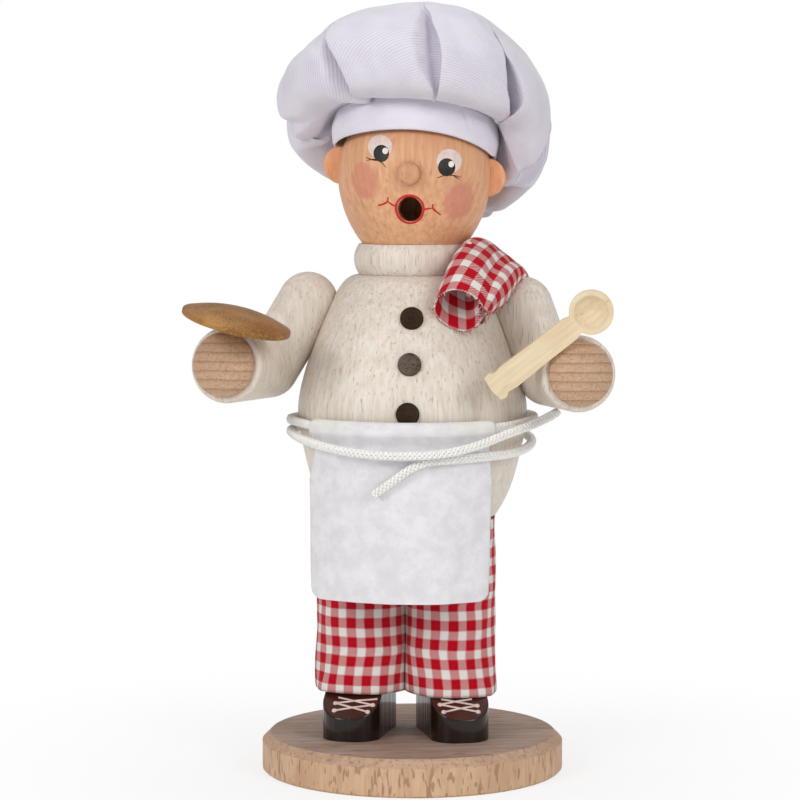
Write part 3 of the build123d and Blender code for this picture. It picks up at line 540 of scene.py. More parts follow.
def splinePoints(controls):
    # points read from a NURBS curve with these control points, in mm
    curve = bpy.data.curves.new("route", "CURVE")
    curve.dimensions = "3D"
    spline = curve.splines.new("NURBS")
    spline.points.add(len(controls) - 1)
    spline.points.foreach_set("co", np.c_[controls, np.ones(len(controls))].ravel())
    spline.order_u = 3
    spline.use_endpoint_u = True
    spline.resolution_u = 12
    holder = bpy.data.objects.new("route", curve)
    mesh = bpy.data.meshes.new_from_object(holder)
    places = np.zeros(len(mesh.vertices) * 3)
    mesh.vertices.foreach_get("co", places)
    bpy.data.objects.remove(holder)
    bpy.data.curves.remove(curve)
    bpy.data.meshes.remove(mesh)
    return places.reshape(-1, 3)


def evenly(places, spacing):
    # the same line with its points a spacing apart
    run = np.r_[0, np.cumsum(np.linalg.norm(np.diff(places, axis=0), axis=1))]
    at = np.linspace(0, run[-1], int(run[-1] / spacing) + 1)
    return np.stack([np.interp(at, run, places[:, k]) for k in range(3)], axis=1), at


def unit(vectors):
    return vectors / np.linalg.norm(vectors, axis=-1, keepdims=True)


def braid(line, run, outward, settings):
    # strand k turns once in a pitch, either way: turn = way 2 pi run / pitch + k pi / 2, and its middle is
    # lay + way swing cos(4 turn) from the line, so that it goes over one strand and under the next
    way = np.repeat([1.0, -1.0], settings["strands"])[:, None]
    start = np.tile(np.arange(settings["strands"]) * 2 * math.pi / settings["strands"], 2)[:, None]
    turn = way * 2 * math.pi * run[None] / settings["pitch"] + start
    reach = settings["lay"] + way * settings["swing"] * np.cos(4 * turn)
    tangent = unit(np.gradient(line, axis=0))
    normal = unit(outward - np.sum(outward * tangent, axis=1, keepdims=True) * tangent)
    binormal = np.cross(tangent, normal)
    radial = np.cos(turn)[..., None] * normal + np.sin(turn)[..., None] * binormal
    sideways = np.cross(tangent, radial)
    middle = line + radial * reach[..., None]
    section = np.arange(settings["sides"]) * 2 * math.pi / settings["sides"]
    return (middle[:, :, None] + settings["flat"] * np.cos(section)[:, None] * radial[:, :, None]
            + settings["wide"] * np.sin(section)[:, None] * sideways[:, :, None])


routeTable = np.array(stringRoute)
routeTurn = np.radians(routeTable[:, 0])
routePlaces = np.stack([routeTable[:, 2] * np.sin(routeTurn), -routeTable[:, 2] * np.cos(routeTurn),
                        routeTable[:, 1]], axis=1)
stringLine, stringRun = evenly(splinePoints(routePlaces), stringSettings["spacing"])
stringOut = stringLine * (1, 1, 0)
strands = braid(stringLine, stringRun, stringOut, stringSettings)
strandCount, strandRows, strandSides = strands.shape[:3]
oneStrand = gridFaces(strandRows, strandSides, closed=True)
strandFaces = repeated(oneStrand, strandCount, strandRows * strandSides)
strandU, strandV = np.meshgrid(np.arange(strandSides + 1) * 0.4, stringRun)
strandCloth = np.tile(gridCloth(strandU, strandV), (strandCount, 1))
apronString = newPiece("apronString", strands, strandFaces, "braid", "upper_body", strandCloth)
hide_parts("apron_string")
print("stage: string", round(float(stringRun[-1]), 1), "mm on its smooth line")


# Trousers: one polar surface. The leg circles give r = c |cos t| + sqrt(R^2 - c^2 sin^2 t) about their
# middle; the valley between them fills over the crotch, and the seat narrows to a circle at the waist.
trouserSettings = {
    "legs": (-12.7, 9.5), "reach": 11.0, "flare": 0.45, "hems": (20.5, 19.5), "crotch": (42.0, 47.0),
    "seat": (43.0, 55.2), "waist": 20.35, "legRoom": 10.7, "hip": (56.2, 60.5), "top": 63.3, "cloth": 0.4,
    "fold": 2.6, "foldRoom": 0.55, "toeOut": (-9.0, 16.0), "shoeRoom": 0.95, "shoeCorners": (-37, 37),
    "cornerWidth": 17, "shoeReach": 14, "squaresRound": 30.5, "columns": 288,
}


def trousers(settings):
    spread = (settings["legs"][1] - settings["legs"][0]) / 2
    legMiddle = (settings["legs"][1] + settings["legs"][0]) / 2
    even = np.arange(settings["columns"]) / settings["columns"] * 2 * math.pi
    # columns crowd towards the front and back valleys: t = e + 0.35 sin(2 e)
    theta = even + 0.35 * np.sin(2 * even) + math.pi / 2
    theta = theta[None]
    foldRows = np.array([1.0, 0.75, 0.5, 0.25, 0.1])
    bodyRows = np.concatenate([np.linspace(0, 0.06, 5), np.linspace(0.08, 1, 88)])
    hem = np.mean(settings["hems"]) + (settings["hems"][1] - settings["hems"][0]) / 2 * np.cos(theta)
    up = np.concatenate([foldRows * settings["fold"] / (settings["top"] - 20), bodyRows])[:, None]
    inside = np.concatenate([np.minimum(foldRows * 4, 1), np.zeros(len(bodyRows))])[:, None]
    z = hem + up * (settings["top"] - hem)
    low = 1 - step(z, hem, hem + 16)
    radius = settings["reach"] + settings["flare"] * low - settings["foldRoom"] * inside
    side = np.abs(np.cos(theta))
    peanut = spread * side + np.sqrt(np.maximum(radius**2 - (spread * np.sin(theta)) ** 2, 0.6))
    flat = radius / np.maximum(np.abs(np.sin(theta)), 0.05)
    filled = np.where(spread * np.abs(np.sin(theta)) > radius * side, flat, peanut)
    reach = peanut + (np.maximum(filled, peanut) - peanut) * step(z, *settings["crotch"])
    closing = step(z, *settings["seat"])
    reach = reach + (settings["waist"] - reach) * closing
    middle = legMiddle * (1 - closing)
    # the cloth stays outside each leg up to the hip: r = c cos t + sqrt(R^2 - c^2 sin^2 t) about the middle
    upToHip = 1 - step(z, *settings["hip"])
    for leg in settings["legs"]:
        offset = leg - middle
        room = settings["legRoom"] ** 2 - (offset * np.sin(theta)) ** 2
        need = np.where(room > 0, offset * np.cos(theta) + np.sqrt(np.maximum(room, 0)), 0)
        reach = reach + np.maximum(need - reach, 0) * upToHip * (1 - inside)
    x = middle + reach * np.cos(theta)
    y = reach * np.sin(theta)
    # folds: shallow waves that run up the leg and lean with height
    lean = theta * 7 + z * 0.16
    wave = 0.16 * np.sin(lean) * step(z, hem + 1, hem + 12) + 0.14 * np.sin(theta * 11 - z * 0.33)
    away = wave * (1 - step(z, 58, 63))
    # the cloth is pushed out where the hem rests on the corners of the shoe
    for leg, toeOut in zip(settings["legs"], settings["toeOut"]):
        turn = np.degrees(np.arctan2(x - leg, -y)) - toeOut
        near = np.hypot(x - leg, y) < settings["shoeReach"]
        for corner in settings["shoeCorners"]:
            bulge = np.exp(-((turn - corner) / settings["cornerWidth"]) ** 2)
            away = away + near * settings["shoeRoom"] * bulge * (1 - step(z, hem, hem + 5))
    x = x + away * np.cos(theta)
    y = y + away * np.sin(theta)
    places = np.stack([x, y, z], axis=-1)
    closedRow = np.concatenate([places, places[:, :1]], axis=1)
    around = alongRow(closedRow)
    share = around / around[:, -1:]
    clothWidth = settings["squaresRound"] * ginghamSettings["across"]
    climb = np.linalg.norm(np.diff(places, axis=0), axis=2).mean(axis=1)
    height = np.concatenate([[0], np.cumsum(climb)])[:, None] + np.zeros_like(share)
    piece = newPiece("trouserCloth", places, gridFaces(*places.shape[:2], closed=True), "gingham", "lower_body",
                     gridCloth(share * clothWidth, height))
    thicken(piece, settings["cloth"])
    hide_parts("trousers")
    return piece


trousersPiece = trousers(trouserSettings)
print("stage: trousers", round(areaOf(trousersPiece) / 2 * 1e6), "mm2 a side")


# Apron: a felt sheet on a cylinder, bulged over the string and turned over it at the top
apronSettings = {
    "line": ((29.25, 45.4), (29.2, 60.0), (29.2, 74.0), (29.2, 81.5), (29.45, 83.6), (30.7, 85.3), (31.75, 86.4),
             (31.85, 87.6), (31.55, 88.45), (30.8, 88.8), (29.95, 88.8)),
    "edges": ((45.4, -22.4, 19.5), (60.0, -23.1, 20.0), (74.0, -23.6, 20.4), (81.0, -22.4, 19.9),
              (89.2, -21.0, 19.4)),
    "hangReach": 29.2, "corner": 2.4, "felt": 0.75, "rows": 150, "columns": 120,
}


def apron(settings):
    share = np.linspace(0, 1, settings["rows"])
    line = through(settings["line"], share * (len(settings["line"]) - 1))
    runs = np.r_[0, np.cumsum(np.linalg.norm(np.diff(line, axis=0), axis=1))]
    low = np.geomspace(0.06, settings["corner"], 14) - 0.06
    at = np.concatenate([low, np.linspace(settings["corner"], runs[-1], settings["rows"])[1:]])
    reach, z = np.interp(at, runs, line[:, 0]), np.interp(at, runs, line[:, 1])
    edges = np.array(settings["edges"])
    left = np.interp(z, edges[:, 0], edges[:, 1])
    right = np.interp(z, edges[:, 0], edges[:, 2])
    corner = settings["corner"]
    pulled = corner - np.sqrt(np.maximum(corner**2 - np.maximum(corner - at, 0) ** 2, 0))
    across = np.linspace(0, 1, settings["columns"])[None]
    flatX = (left + pulled)[:, None] + (right - left - 2 * pulled)[:, None] * across
    # the felt hangs with a slight wave and lifts a little at its lower corners
    angle = np.arcsin(flatX / settings["hangReach"])
    free = 1 - step(z, 50, 80)[:, None]
    wave = free * (0.35 * np.sin(flatX * 0.21 + 0.6) + 0.22 * np.sin(flatX * 0.47 - z[:, None] * 0.05))
    depth = reach[:, None] + np.maximum(wave, -0.2) + 0.5 * free**2 * (np.abs(flatX) / 23) ** 3
    places = np.stack([depth * np.sin(angle), -depth * np.cos(angle), z[:, None] + 0 * flatX], axis=-1)
    piece = newPiece("apronFelt", places, gridFaces(*places.shape[:2]), "felt", "upper_body")
    thicken(piece, settings["felt"])
    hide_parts("apron")
    return piece


apronPiece = apron(apronSettings)
print("stage: apron", round(areaOf(apronPiece) / 2 * 1e6), "mm2 a side")

# Hat, about an axis that leans back and towards the figure's left
hatSettings = {
    "place": (-0.1, 0.0, 148.0), "tilt": -18.0, "lean": 4.0, "bandReach": 19.85, "bandFoot": 5.1, "bandTop": 12.9,
    "bandCloth": 0.4, "layer": 0.22, "foot": 11.9, "droop": 14.5, "droopStart": -22.0, "columns": 320,
}
hatPlace = (Matrix.Translation(hatSettings["place"]) @ Matrix.Rotation(math.radians(hatSettings["tilt"]), 4, "X")
            @ Matrix.Rotation(math.radians(hatSettings["lean"]), 4, "Y"))
hatTurn = np.array(hatPlace.to_3x3())


def hatPlaces(reach, angle, height):
    # places in the figure's frame from reach, angle from the front in degrees and height along the hat's axis
    turn = np.radians(angle)
    local = np.stack([reach * np.sin(turn), -reach * np.cos(turn), height + 0 * turn], axis=-1)
    return local @ hatTurn.T + np.array(hatSettings["place"])


def hatBand(settings):
    # a strip folded along its lower edge, lifted where it rests on the ears, with a few soft dents
    columns = settings["columns"]
    angle = np.linspace(-180, 180, columns, endpoint=False)[None]
    rows = np.concatenate([np.linspace(1, 0.03, 12), [0.0, -0.015, 0.0], np.linspace(0.03, 1, 26)])[:, None]
    layer = np.concatenate([np.full(12, -1.0), [-0.8, 0.0, 0.8], np.full(26, 1.0)])[:, None] * settings["layer"]
    ears = 1.2 * np.exp(-((np.abs(angle) - 91) / 9) ** 2)
    foot = settings["bandFoot"] + ears + 0.22 * np.sin(np.radians(angle * 3 + 40))
    height = foot + (settings["bandTop"] - foot) * rows
    bulge = 0.35 * np.sin(math.pi * rows)
    dents = 0.16 * np.sin(np.radians(angle * 5 + 30) + rows * 2.2) + 0.1 * np.sin(np.radians(angle * 11) - rows * 4)
    crease = 0.55 * np.exp(-((angle - 47 + 10 * rows) / 2.2) ** 2) * rows**2
    reach = settings["bandReach"] + layer + bulge + dents * np.sin(math.pi * np.clip(rows, 0.05, 0.95)) - crease
    places = hatPlaces(reach, angle + 0 * rows, height)
    run = np.r_[0, np.cumsum(np.abs(np.diff(rows[:, 0])))] * (settings["bandTop"] - settings["bandFoot"])
    u, v = np.meshgrid(np.arange(columns + 1) / columns * 2 * math.pi * settings["bandReach"], run)
    piece = newPiece("hatBand", places, gridFaces(*places.shape[:2], closed=True), "bandTwill", "upper_body",
                     gridCloth(u, v))
    thicken(piece, settings["bandCloth"])
    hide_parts("hat_band")
    return piece


bandPiece = hatBand(hatSettings)

# Crown: a section from inside the band, under the overhang, out and over the top, turned about the
# hat's axis. A station is reach, height over the foot, how far it follows the droop and how far the
# lobes and soft waves shape it. "lobes" holds an angle and the share of the reach there.
crownSettings = {
    "stations": (
        (19.6, -0.6, 0.0, 0.0), (19.7, 0.5, 0.0, 0.05), (20.4, 1.35, 0.05, 0.25), (21.8, 0.9, 0.4, 0.5),
        (23.6, -0.3, 0.85, 0.55), (26.2, -0.5, 1.0, 0.65), (29.6, 0.5, 0.97, 0.9), (32.2, 3.2, 0.75, 1.0),
        (33.5, 7.4, 0.46, 1.0), (33.3, 11.6, 0.22, 1.0), (31.6, 15.6, 0.08, 1.0), (28.2, 19.7, 0.0, 0.95),
        (23.3, 23.0, 0.0, 0.8), (17.4, 25.3, 0.0, 0.55), (11.0, 26.7, 0.0, 0.25), (5.0, 27.3, 0.0, 0.1),
        (0.15, 27.45, 0.0, 0.0)),
    "rows": (0.0, 0.28, 0.72, 1.0), "rowCounts": (22, 112, 34), "turnRows": (60, 110), "overBand": (4, 48, 92),
    "lobes": ((-180, 0.975), (-112, 1.03), (-65, 1.005), (-12, 0.985), (40, 0.99), (82, 1.0), (130, 0.99),
              (180, 0.975)),
}
# Pleats: an angle, the way the fold's edge wanders with the share of the section, how wide its hollow is in
# degrees and how deep in mm, and how far its fold laps over the hollow in degrees
backPleat = {"width": ((0.2, 10), (0.4, 17), (0.6, 13), (0.8, 4)), "lap": 4.0,
             "depth": ((0.12, 0.0), (0.3, 3.4), (0.5, 5.0), (0.62, 3.0), (0.78, 0.0))}
pleatSettings = (
    {"at": -31, "path": ((0.2, -29), (0.31, -27.5), (0.38, -25), (0.44, -26), (0.49, -29), (0.56, -35), (0.7, -46)),
     "width": ((0.25, 18), (0.36, 18), (0.45, 15), (0.56, 10), (0.66, 4)), "lap": 5.5,
     "depth": ((0.12, 0.0), (0.26, 3.0), (0.36, 6.4), (0.46, 7.4), (0.56, 5.4), (0.66, 2.2), (0.74, 0.0))},
    {"at": 14, "path": ((0.2, 14), (0.33, 14), (0.44, 14.5), (0.505, 14.5), (0.557, 13.5), (0.618, 11.5), (0.688, 8),
                        (0.73, 3)),
     "width": ((0.3, 2.5), (0.37, 4), (0.42, 8.5), (0.47, 13), (0.55, 15), (0.64, 10), (0.72, 3)), "lap": 3.0,
     "depth": ((0.2, 0.0), (0.3, 1.6), (0.38, 3.0), (0.47, 5.0), (0.56, 5.4), (0.64, 4.0), (0.72, 0.8), (0.78, 0.0))},
    {"at": 58, "path": ((0.2, 64), (0.32, 63), (0.375, 63), (0.43, 62.5), (0.465, 58.5), (0.497, 55), (0.537, 51.5),
                        (0.593, 46), (0.66, 41)),
     "width": ((0.25, 2), (0.33, 3), (0.385, 10), (0.448, 15), (0.532, 11), (0.6, 4), (0.66, 2)), "lap": 7.5,
     "depth": ((0.2, 0.0), (0.3, 2.0), (0.36, 5.0), (0.43, 7.4), (0.52, 6.4), (0.6, 2.6), (0.68, 0.0))},
    dict(backPleat, at=101, path=((0.3, 103), (0.7, 98))), dict(backPleat, at=143, path=((0.3, 144), (0.7, 141))),
    dict(backPleat, at=186, path=((0.3, 185), (0.7, 188))), dict(backPleat, at=227, path=((0.3, 226), (0.7, 230))),
    dict(backPleat, at=271, path=((0.3, 268), (0.7, 274))),
)
# Creases where a lobe's lower part tucks under: angle, half width, share of the section, depth, slope
tuckSettings = (
    {"at": -82, "wide": 15, "row": 0.40, "depth": 2.4, "slope": -0.006},
    {"at": 84, "wide": 13, "row": 0.345, "depth": 2.0, "slope": 0.0046},
    {"at": 64, "wide": 6, "row": 0.315, "depth": 1.2, "slope": 0.003},
    {"at": 122, "wide": 20, "row": 0.46, "depth": 1.4, "slope": -0.002},
    {"at": 205, "wide": 22, "row": 0.42, "depth": 1.4, "slope": 0.0015},
)
# Fuller and flatter places: angle, half width, share of the section, its half height, and mm out and up
swellSettings = (
    (-95, 38, 0.66, 0.08, -2.8, -0.8), (-97, 22, 0.50, 0.06, 0.5, 0.0), (-112, 28, 0.38, 0.09, 1.6, 0.0),
    (95, 38, 0.61, 0.08, -2.2, 0.0), (30, 60, 0.78, 0.10, 0.0, 1.5),
    (135, 30, 0.38, 0.10, 0.4, -0.6), (-88, 50, 0.80, 0.10, -2.2, -2.2), (-130, 34, 0.28, 0.09, 0.0, 2.4),
    (82, 32, 0.71, 0.07, -1.3, -0.6),
)


def crownColumns():
    # angles close together at each pleat and further apart between them
    marks = np.array([p["at"] for p in pleatSettings])
    fine = np.concatenate([m + np.concatenate([np.linspace(-18, -3, 16), np.linspace(-2.6, 2.6, 17),
                                               np.linspace(3, 9, 9)]) for m in marks])
    coarse = np.arange(-120, 240, 2.0)
    angles = np.sort(np.mod(np.concatenate([fine, coarse]) + 120, 360) - 120)
    return angles[np.r_[True, np.diff(angles) > 0.22]]


def softened(share, knots):
    # straight lines through the knots, averaged over nine rows so that their corners are round
    line = np.interp(share[:, 0], *np.array(knots).T)
    return np.convolve(np.pad(line, 4, mode="edge"), np.full(9, 1 / 9), "valid")[:, None]


def hatCrown(settings):
    marks = settings["rows"]
    share = np.concatenate([np.linspace(low, high, count, endpoint=high == 1) for low, high, count in
                            zip(marks, marks[1:], settings["rowCounts"])])[:, None]
    count = len(settings["stations"]) - 1
    reach, rise, droopShare, foldShare = np.moveaxis(through(settings["stations"], share * count), -1, 0)
    base = crownColumns()[None]
    lobeAngles, lobeShares = np.array(settings["lobes"]).T
    lobe = np.interp(np.mod(base + 180, 360) - 180, lobeAngles, lobeShares, period=360)
    reach = reach * (1 + (lobe - 1) * np.clip(foldShare, 0, 1))
    angle = base + 0 * share
    inward = 0 * angle
    for pleat in pleatSettings:
        gap = np.mod(base - pleat["at"] + 180, 360) - 180
        wander, width, depth = [softened(share, pleat[key]) for key in ("path", "width", "depth")]
        angle = angle + np.exp(-((gap / 24) ** 2)) * (wander - pleat["at"])
        # the hollow is deepest at the fold and rises away from it; the fold's edge laps back over it
        hollow = np.where(gap < 0, 1 - step(-gap, 0.25 * width, width), 1 - step(gap, 0.0, 1.3))
        ridge = np.where(gap > 0, np.exp(-((gap - 2.4) / 3.6) ** 2), 0)
        inward = inward + depth * (hollow - 0.14 * ridge)
        lapped = step(gap, 0.0, 1.3) * np.exp(-((np.maximum(gap - 1.3, 0) / 3.4) ** 2))
        angle = angle - pleat["lap"] * lapped * np.clip(depth / 4, 0, 1)
    for tuck in tuckSettings:
        gap = np.mod(base - tuck["at"] + 180, 360) - 180
        across = share - tuck["row"] - tuck["slope"] * gap
        cut = np.where(across < 0, np.exp(-((across / 0.045) ** 2)), np.exp(-((across / 0.012) ** 2)))
        inward = inward + tuck["depth"] * cut * np.exp(-((gap / tuck["wide"]) ** 2))
    out, up = 0 * angle, 0 * angle
    for at, wide, row, tall, outward, upward in swellSettings:
        gap = np.mod(base - at + 180, 360) - 180
        swell = np.exp(-((gap / wide) ** 2) - ((share - row) / tall) ** 2)
        out, up = out + outward * swell, up + upward * swell
    soft = (0.35 * np.sin(np.radians(base * 5) + share * 9) + 0.25 * np.sin(np.radians(base * 9 + 50) - share * 14)
            + 0.15 * np.sin(np.radians(base * 17 + 20) + share * 23))
    inward = inward + soft * np.clip(foldShare, 0, 1) * 0.8
    # the droop grows towards the back, and is held up over the band at the front
    held = step(np.abs(base - settings["overBand"][0]), *settings["overBand"][1:])
    droop = hatSettings["droop"] / 2 * (1 - np.cos(np.radians(base - hatSettings["droopStart"]))) * held
    height = hatSettings["foot"] + rise - droopShare * droop + up
    # a pleat sinks along the surface's own slope, mostly inward at the side and mostly down near the top
    slope = step(share, 0.55, 0.95)
    places = hatPlaces(reach + out - inward * (1 - 0.75 * slope), angle, height - inward * 0.75 * slope)
    section = np.stack([reach[:, 0], rise[:, 0]], axis=-1)
    run = np.r_[0, np.cumsum(np.linalg.norm(np.diff(section, axis=0), axis=1))]
    flatReach = (run[-1] - run)[:, None]
    # the cloth turns with the length round the middle rows, so it isn't stretched in the pleats
    around = alongRow(np.concatenate([places, places[:, :1]], axis=1))[slice(*settings["turnRows"])]
    closedAngle = 2 * math.pi * (around / around[:, -1:]).mean(axis=0)[None]
    u, v = flatReach * np.sin(closedAngle), -flatReach * np.cos(closedAngle)
    piece = newPiece("hatCrown", places, gridFaces(*places.shape[:2], closed=True), "crownTwill", "upper_body",
                     gridCloth(u, v))
    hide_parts("hat_crown")
    return piece


crownPiece = hatCrown(crownSettings)
print("stage: hat", round(areaOf(bandPiece) / 2 * 1e6), round(areaOf(crownPiece) * 1e6), "mm2")


# Shoulder towel: an open section, a roll with a flap, carried along a line over the shoulder. Each section
# runs from the flap's free edge over the roll and back under it, in mm across and outward.
towelSettings = {
    "middles": ((13.1, -23.1, 115.6), (15.0, -19.0, 120.4), (17.0, -14.1, 123.8), (19.3, -8.3, 126.3),
                (21.2, -2.4, 126.7), (22.0, 3.0, 124.8)),
    "sections": (
        ((5.8, -3.8), (6.3, -1.0), (6.1, 1.8), (5.2, 3.6), (4.2, 4.2), (2.4, 5.5), (-1.3, 6.1), (-4.6, 4.6),
         (-6.3, 0.9), (-5.6, -3.0), (-2.6, -5.2), (0.9, -5.3), (3.9, -4.2), (5.2, -1.3), (4.9, 1.5), (3.6, 3.3)),
        ((8.4, -4.2), (8.9, -1.6), (7.8, 1.8), (5.7, 3.6), (3.5, 3.4), (1.9, 3.6), (-0.6, 4.7), (-3.8, 4.8),
         (-6.6, 3.2), (-7.4, 0.4), (-6.6, -2.6), (-4.0, -4.0), (-0.8, -4.0), (1.2, -2.4), (1.7, 0.2), (1.5, 2.0)),
        ((7.4, -1.8), (7.6, -0.4), (7.0, 1.1), (5.2, 1.9), (3.3, 2.1), (1.7, 2.3), (-0.8, 2.6), (-3.6, 2.7),
         (-6.6, 2.3), (-7.9, 1.0), (-7.3, -0.3), (-4.6, -1.0), (-1.4, -1.1), (0.6, -0.8), (1.4, -0.1), (1.8, 0.8))),
    "slope": 32.0, "cloth": 0.38, "rows": 84, "columns": 190, "lip": 2.0, "setBack": 1.2,
}


def towel(settings):
    share = np.linspace(0, 1, settings["rows"])
    middle = through(settings["middles"], share * (len(settings["middles"]) - 1))
    way = unit(np.gradient(middle, axis=0))
    slope = math.radians(settings["slope"])
    across = np.array([math.cos(slope), 0, -math.sin(slope)]) + 0 * way
    across = unit(across - np.sum(across * way, axis=1, keepdims=True) * way)
    outward = np.cross(-way, across)
    column = np.linspace(0, 1, settings["columns"]) * (len(settings["sections"][0]) - 1)
    keys = np.stack([through(section, column) for section in settings["sections"]])
    section = through(keys.reshape(len(keys), -1), np.minimum(share * 1.25, 1) ** 0.9 * (len(keys) - 1))
    section = section.reshape(len(share), -1, 2)
    sides, outs = section[..., 0], section[..., 1]
    # the roll's lower lip reaches further forward than its upper one, and the flap stops short
    front = (1 - step(share, 0, 0.4))[:, None]
    flap = 1 - step(column, 2.0, 4.2)[None]
    lip = front * (settings["lip"] * (0.2 - outs / 7.0) * (1 - flap) - settings["setBack"] * flap)
    ripple = 0.14 * np.sin(column * 2.9)[None] * np.sin(share * 11)[:, None]
    places = (middle[:, None] + across[:, None] * sides[..., None] + outward[:, None] * (outs + ripple)[..., None]
              - way[:, None] * lip[..., None])
    u = alongRow(places).mean(axis=0)[None] + 0 * share[:, None]
    v = alongRow(np.swapaxes(places, 0, 1)).mean(axis=0)[:, None] + 0 * sides[:1]
    piece = newPiece("shoulderTowel", places, gridFaces(*places.shape[:2]), "gingham", "upper_body", gridCloth(u, v))
    thicken(piece, settings["cloth"])
    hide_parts("shoulder_towel")
    return piece, places, way


towelPiece, towelPlaces, towelWay = towel(towelSettings)
print("stage: towel", round(areaOf(towelPiece) / 2 * 1e6), "mm2 a side")


# Places under a pixel of the photograph's frame
frameWidth = 800
halfFrame = frameWidth / 2
focal = frameWidth * cameraSettings["lens"] / cameraSettings["sensor"]
cameraTurn = np.array(camera.rotation_euler.to_matrix())
cameraPlace = np.array(cameraSettings["place"]) / mm


def rays(pixels):
    # the way through a pixel (u, v): ((u - half) / focal, (half - v) / focal, -1), turned as the camera is
    pixels = np.asarray(pixels, float)
    right, up = (pixels[..., 0] - halfFrame) / focal, (halfFrame - pixels[..., 1]) / focal
    local = np.stack([right, up, -np.ones(pixels.shape[:-1])], -1)
    return unit(local @ cameraTurn.T)


# The ball of the head: where its axis stands, the height and radius of its widest ring, heights and
# reaches below that ring, and how far from the camera its near side is looked for
headSettings = {
    "axis": 0.5, "widest": 148.0, "radius": 18.9, "near": 690.0, "far": 722.0, "halvings": 32, "lowest": -6,
    "profile": ((131.0, 12.9), (133.0, 14.2), (135.0, 15.45), (137.2, 16.6), (140.0, 17.65), (143.0, 18.4),
                (146.0, 18.82), (148.0, 18.9)),
}
headProfile = np.array(headSettings["profile"])


def headReach(z):
    # the ball's reach from its own axis at a height: sqrt(R^2 - (z - widest)^2) above its widest ring
    above = z - headSettings["widest"]
    upper = np.sqrt(np.maximum(headSettings["radius"] ** 2 - above**2, 0))
    return np.where(above > 0, upper, np.interp(z, headProfile[:, 0], headProfile[:, 1]))


def onHead(pixels):
    # the near side of the ball along each ray, by halving between outside and the middle plane
    way = rays(pixels)
    near, far = np.full(way.shape[:-1], headSettings["near"]), np.full(way.shape[:-1], headSettings["far"])
    for _ in range(headSettings["halvings"]):
        middle = (near + far) / 2
        place = cameraPlace + way * middle[..., None]
        inside = np.hypot(place[..., 0] - headSettings["axis"], place[..., 1]) < headReach(place[..., 2])
        near, far = np.where(inside, near, middle), np.where(inside, middle, far)
    return cameraPlace + way * near[..., None]


def headNormal(places):
    # the way out from the ball's middle, which counts as no more than 6 mm above a place
    above = np.maximum(places[..., 2] - headSettings["widest"], headSettings["lowest"])
    return unit(np.stack([places[..., 0] - headSettings["axis"], places[..., 1], above], -1))


# Painted discs: an outline of pixels filled with rings towards its middle, raised by the paint's thickness
def paintDisc(name, outline, material, lift):
    outline = np.asarray(outline, float)
    ring = through(np.concatenate([outline[-1:], outline, outline[:2]]), np.linspace(1, len(outline) + 1, 61)[:-1])
    middle = ring.mean(axis=0)
    shares = np.array([1.0, 0.985, 0.93, 0.75, 0.5, 0.25, 0.02])[:, None, None]
    flat = middle + (ring - middle) * shares
    places = onHead(flat)
    raised = lift * np.array([0.0, 0.7, 1, 1, 1, 1, 1])[:, None, None]
    places = places + headNormal(places) * (raised + 0.01)
    return newPiece(name, places, gridFaces(*places.shape[:2], closed=True), material, "upper_body")


def paintStroke(name, pixels, widths, material, lift):
    # a brush stroke: a low round ridge along a line of pixels, its half widths in mm
    share = np.linspace(0, 1, 40)
    line = onHead(through(pixels, share * (len(pixels) - 1)))
    normal = headNormal(line)
    way = unit(np.gradient(line, axis=0))
    side = np.cross(way, normal)
    half = np.interp(share, np.linspace(0, 1, len(widths)), widths)
    section = np.linspace(0, math.pi, 9)
    places = (line[:, None] + side[:, None] * (half[:, None] * np.cos(section))[..., None]
              + normal[:, None] * (lift * np.sin(section) * (half / max(widths))[:, None] + 0.01)[..., None])
    return newPiece(name, places, gridFaces(*places.shape[:2]), material, "upper_body")


def oval(u, v, across, up):
    # twelve outline points of an oval, in pixels: u + across cos t, v + up sin t
    at = np.linspace(0, 2 * math.pi, 12, endpoint=False)
    return np.stack([u + across * np.cos(at), v + up * np.sin(at)], 1)


# Eyes and lashes by pixel: an oval is its middle, its half width and its half height
eyeSettings = {
    "right": {
        "white": (380.0, 146.5, 12.2, 11.6), "iris": (381.3, 153.4, 7.8, 8.6), "glint": (385.3, 151.0, 2.9, 3.2),
        "lashes": (((366.0, 157.3), (371.5, 159.6), (378.0, 160.8)),
                   ((366.4, 160.6), (375.0, 159.4), (382.0, 163.0), (386.2, 167.8)))},
    "left": {
        "white": (449.3, 161.0, 12.6, 12.0), "iris": (446.7, 167.2, 8.6, 9.0), "glint": (451.2, 164.2, 2.9, 3.2),
        "lashes": (((436.4, 178.2), (445.0, 175.4), (454.0, 175.6), (461.2, 177.2)),
                   ((453.0, 175.4), (459.4, 179.4)))},
}
for side, eye in eyeSettings.items():
    paintDisc("eyeWhite_" + side, oval(*eye["white"]), "eyeWhite", 0.03)
    paintDisc("iris_" + side, oval(*eye["iris"]), "iris", 0.07)
    paintDisc("glint_" + side, oval(*eye["glint"]), "glint", 0.11)
    for number, lash in enumerate(eye["lashes"]):
        paintStroke(f"lash_{side}_{number}", lash, (0.05, 0.13, 0.12, 0.04), "lash", 0.12)
smileSettings = {
    "right": (((396.6, 206.4), (392.0, 204.6), (387.6, 201.4)),
              ((378.2, 205.4), (383.0, 204.2), (387.2, 201.6), (388.0, 197.0))),
    "left": (((421.4, 210.4), (427.0, 208.8), (432.4, 208.2)),
             ((432.8, 204.0), (433.0, 208.4), (436.0, 211.4), (440.6, 215.0))),
}
for side, strokes in smileSettings.items():
    for number, stroke in enumerate(strokes):
        paintStroke(f"smile_{side}_{number}", stroke, (0.2, 0.24, 0.16), "lips", 0.12)


mouthSettings = {"middle": (0.45, 139.7), "reach": 3.02, "width": 0.62, "waver": 0.06, "lift": 0.14}


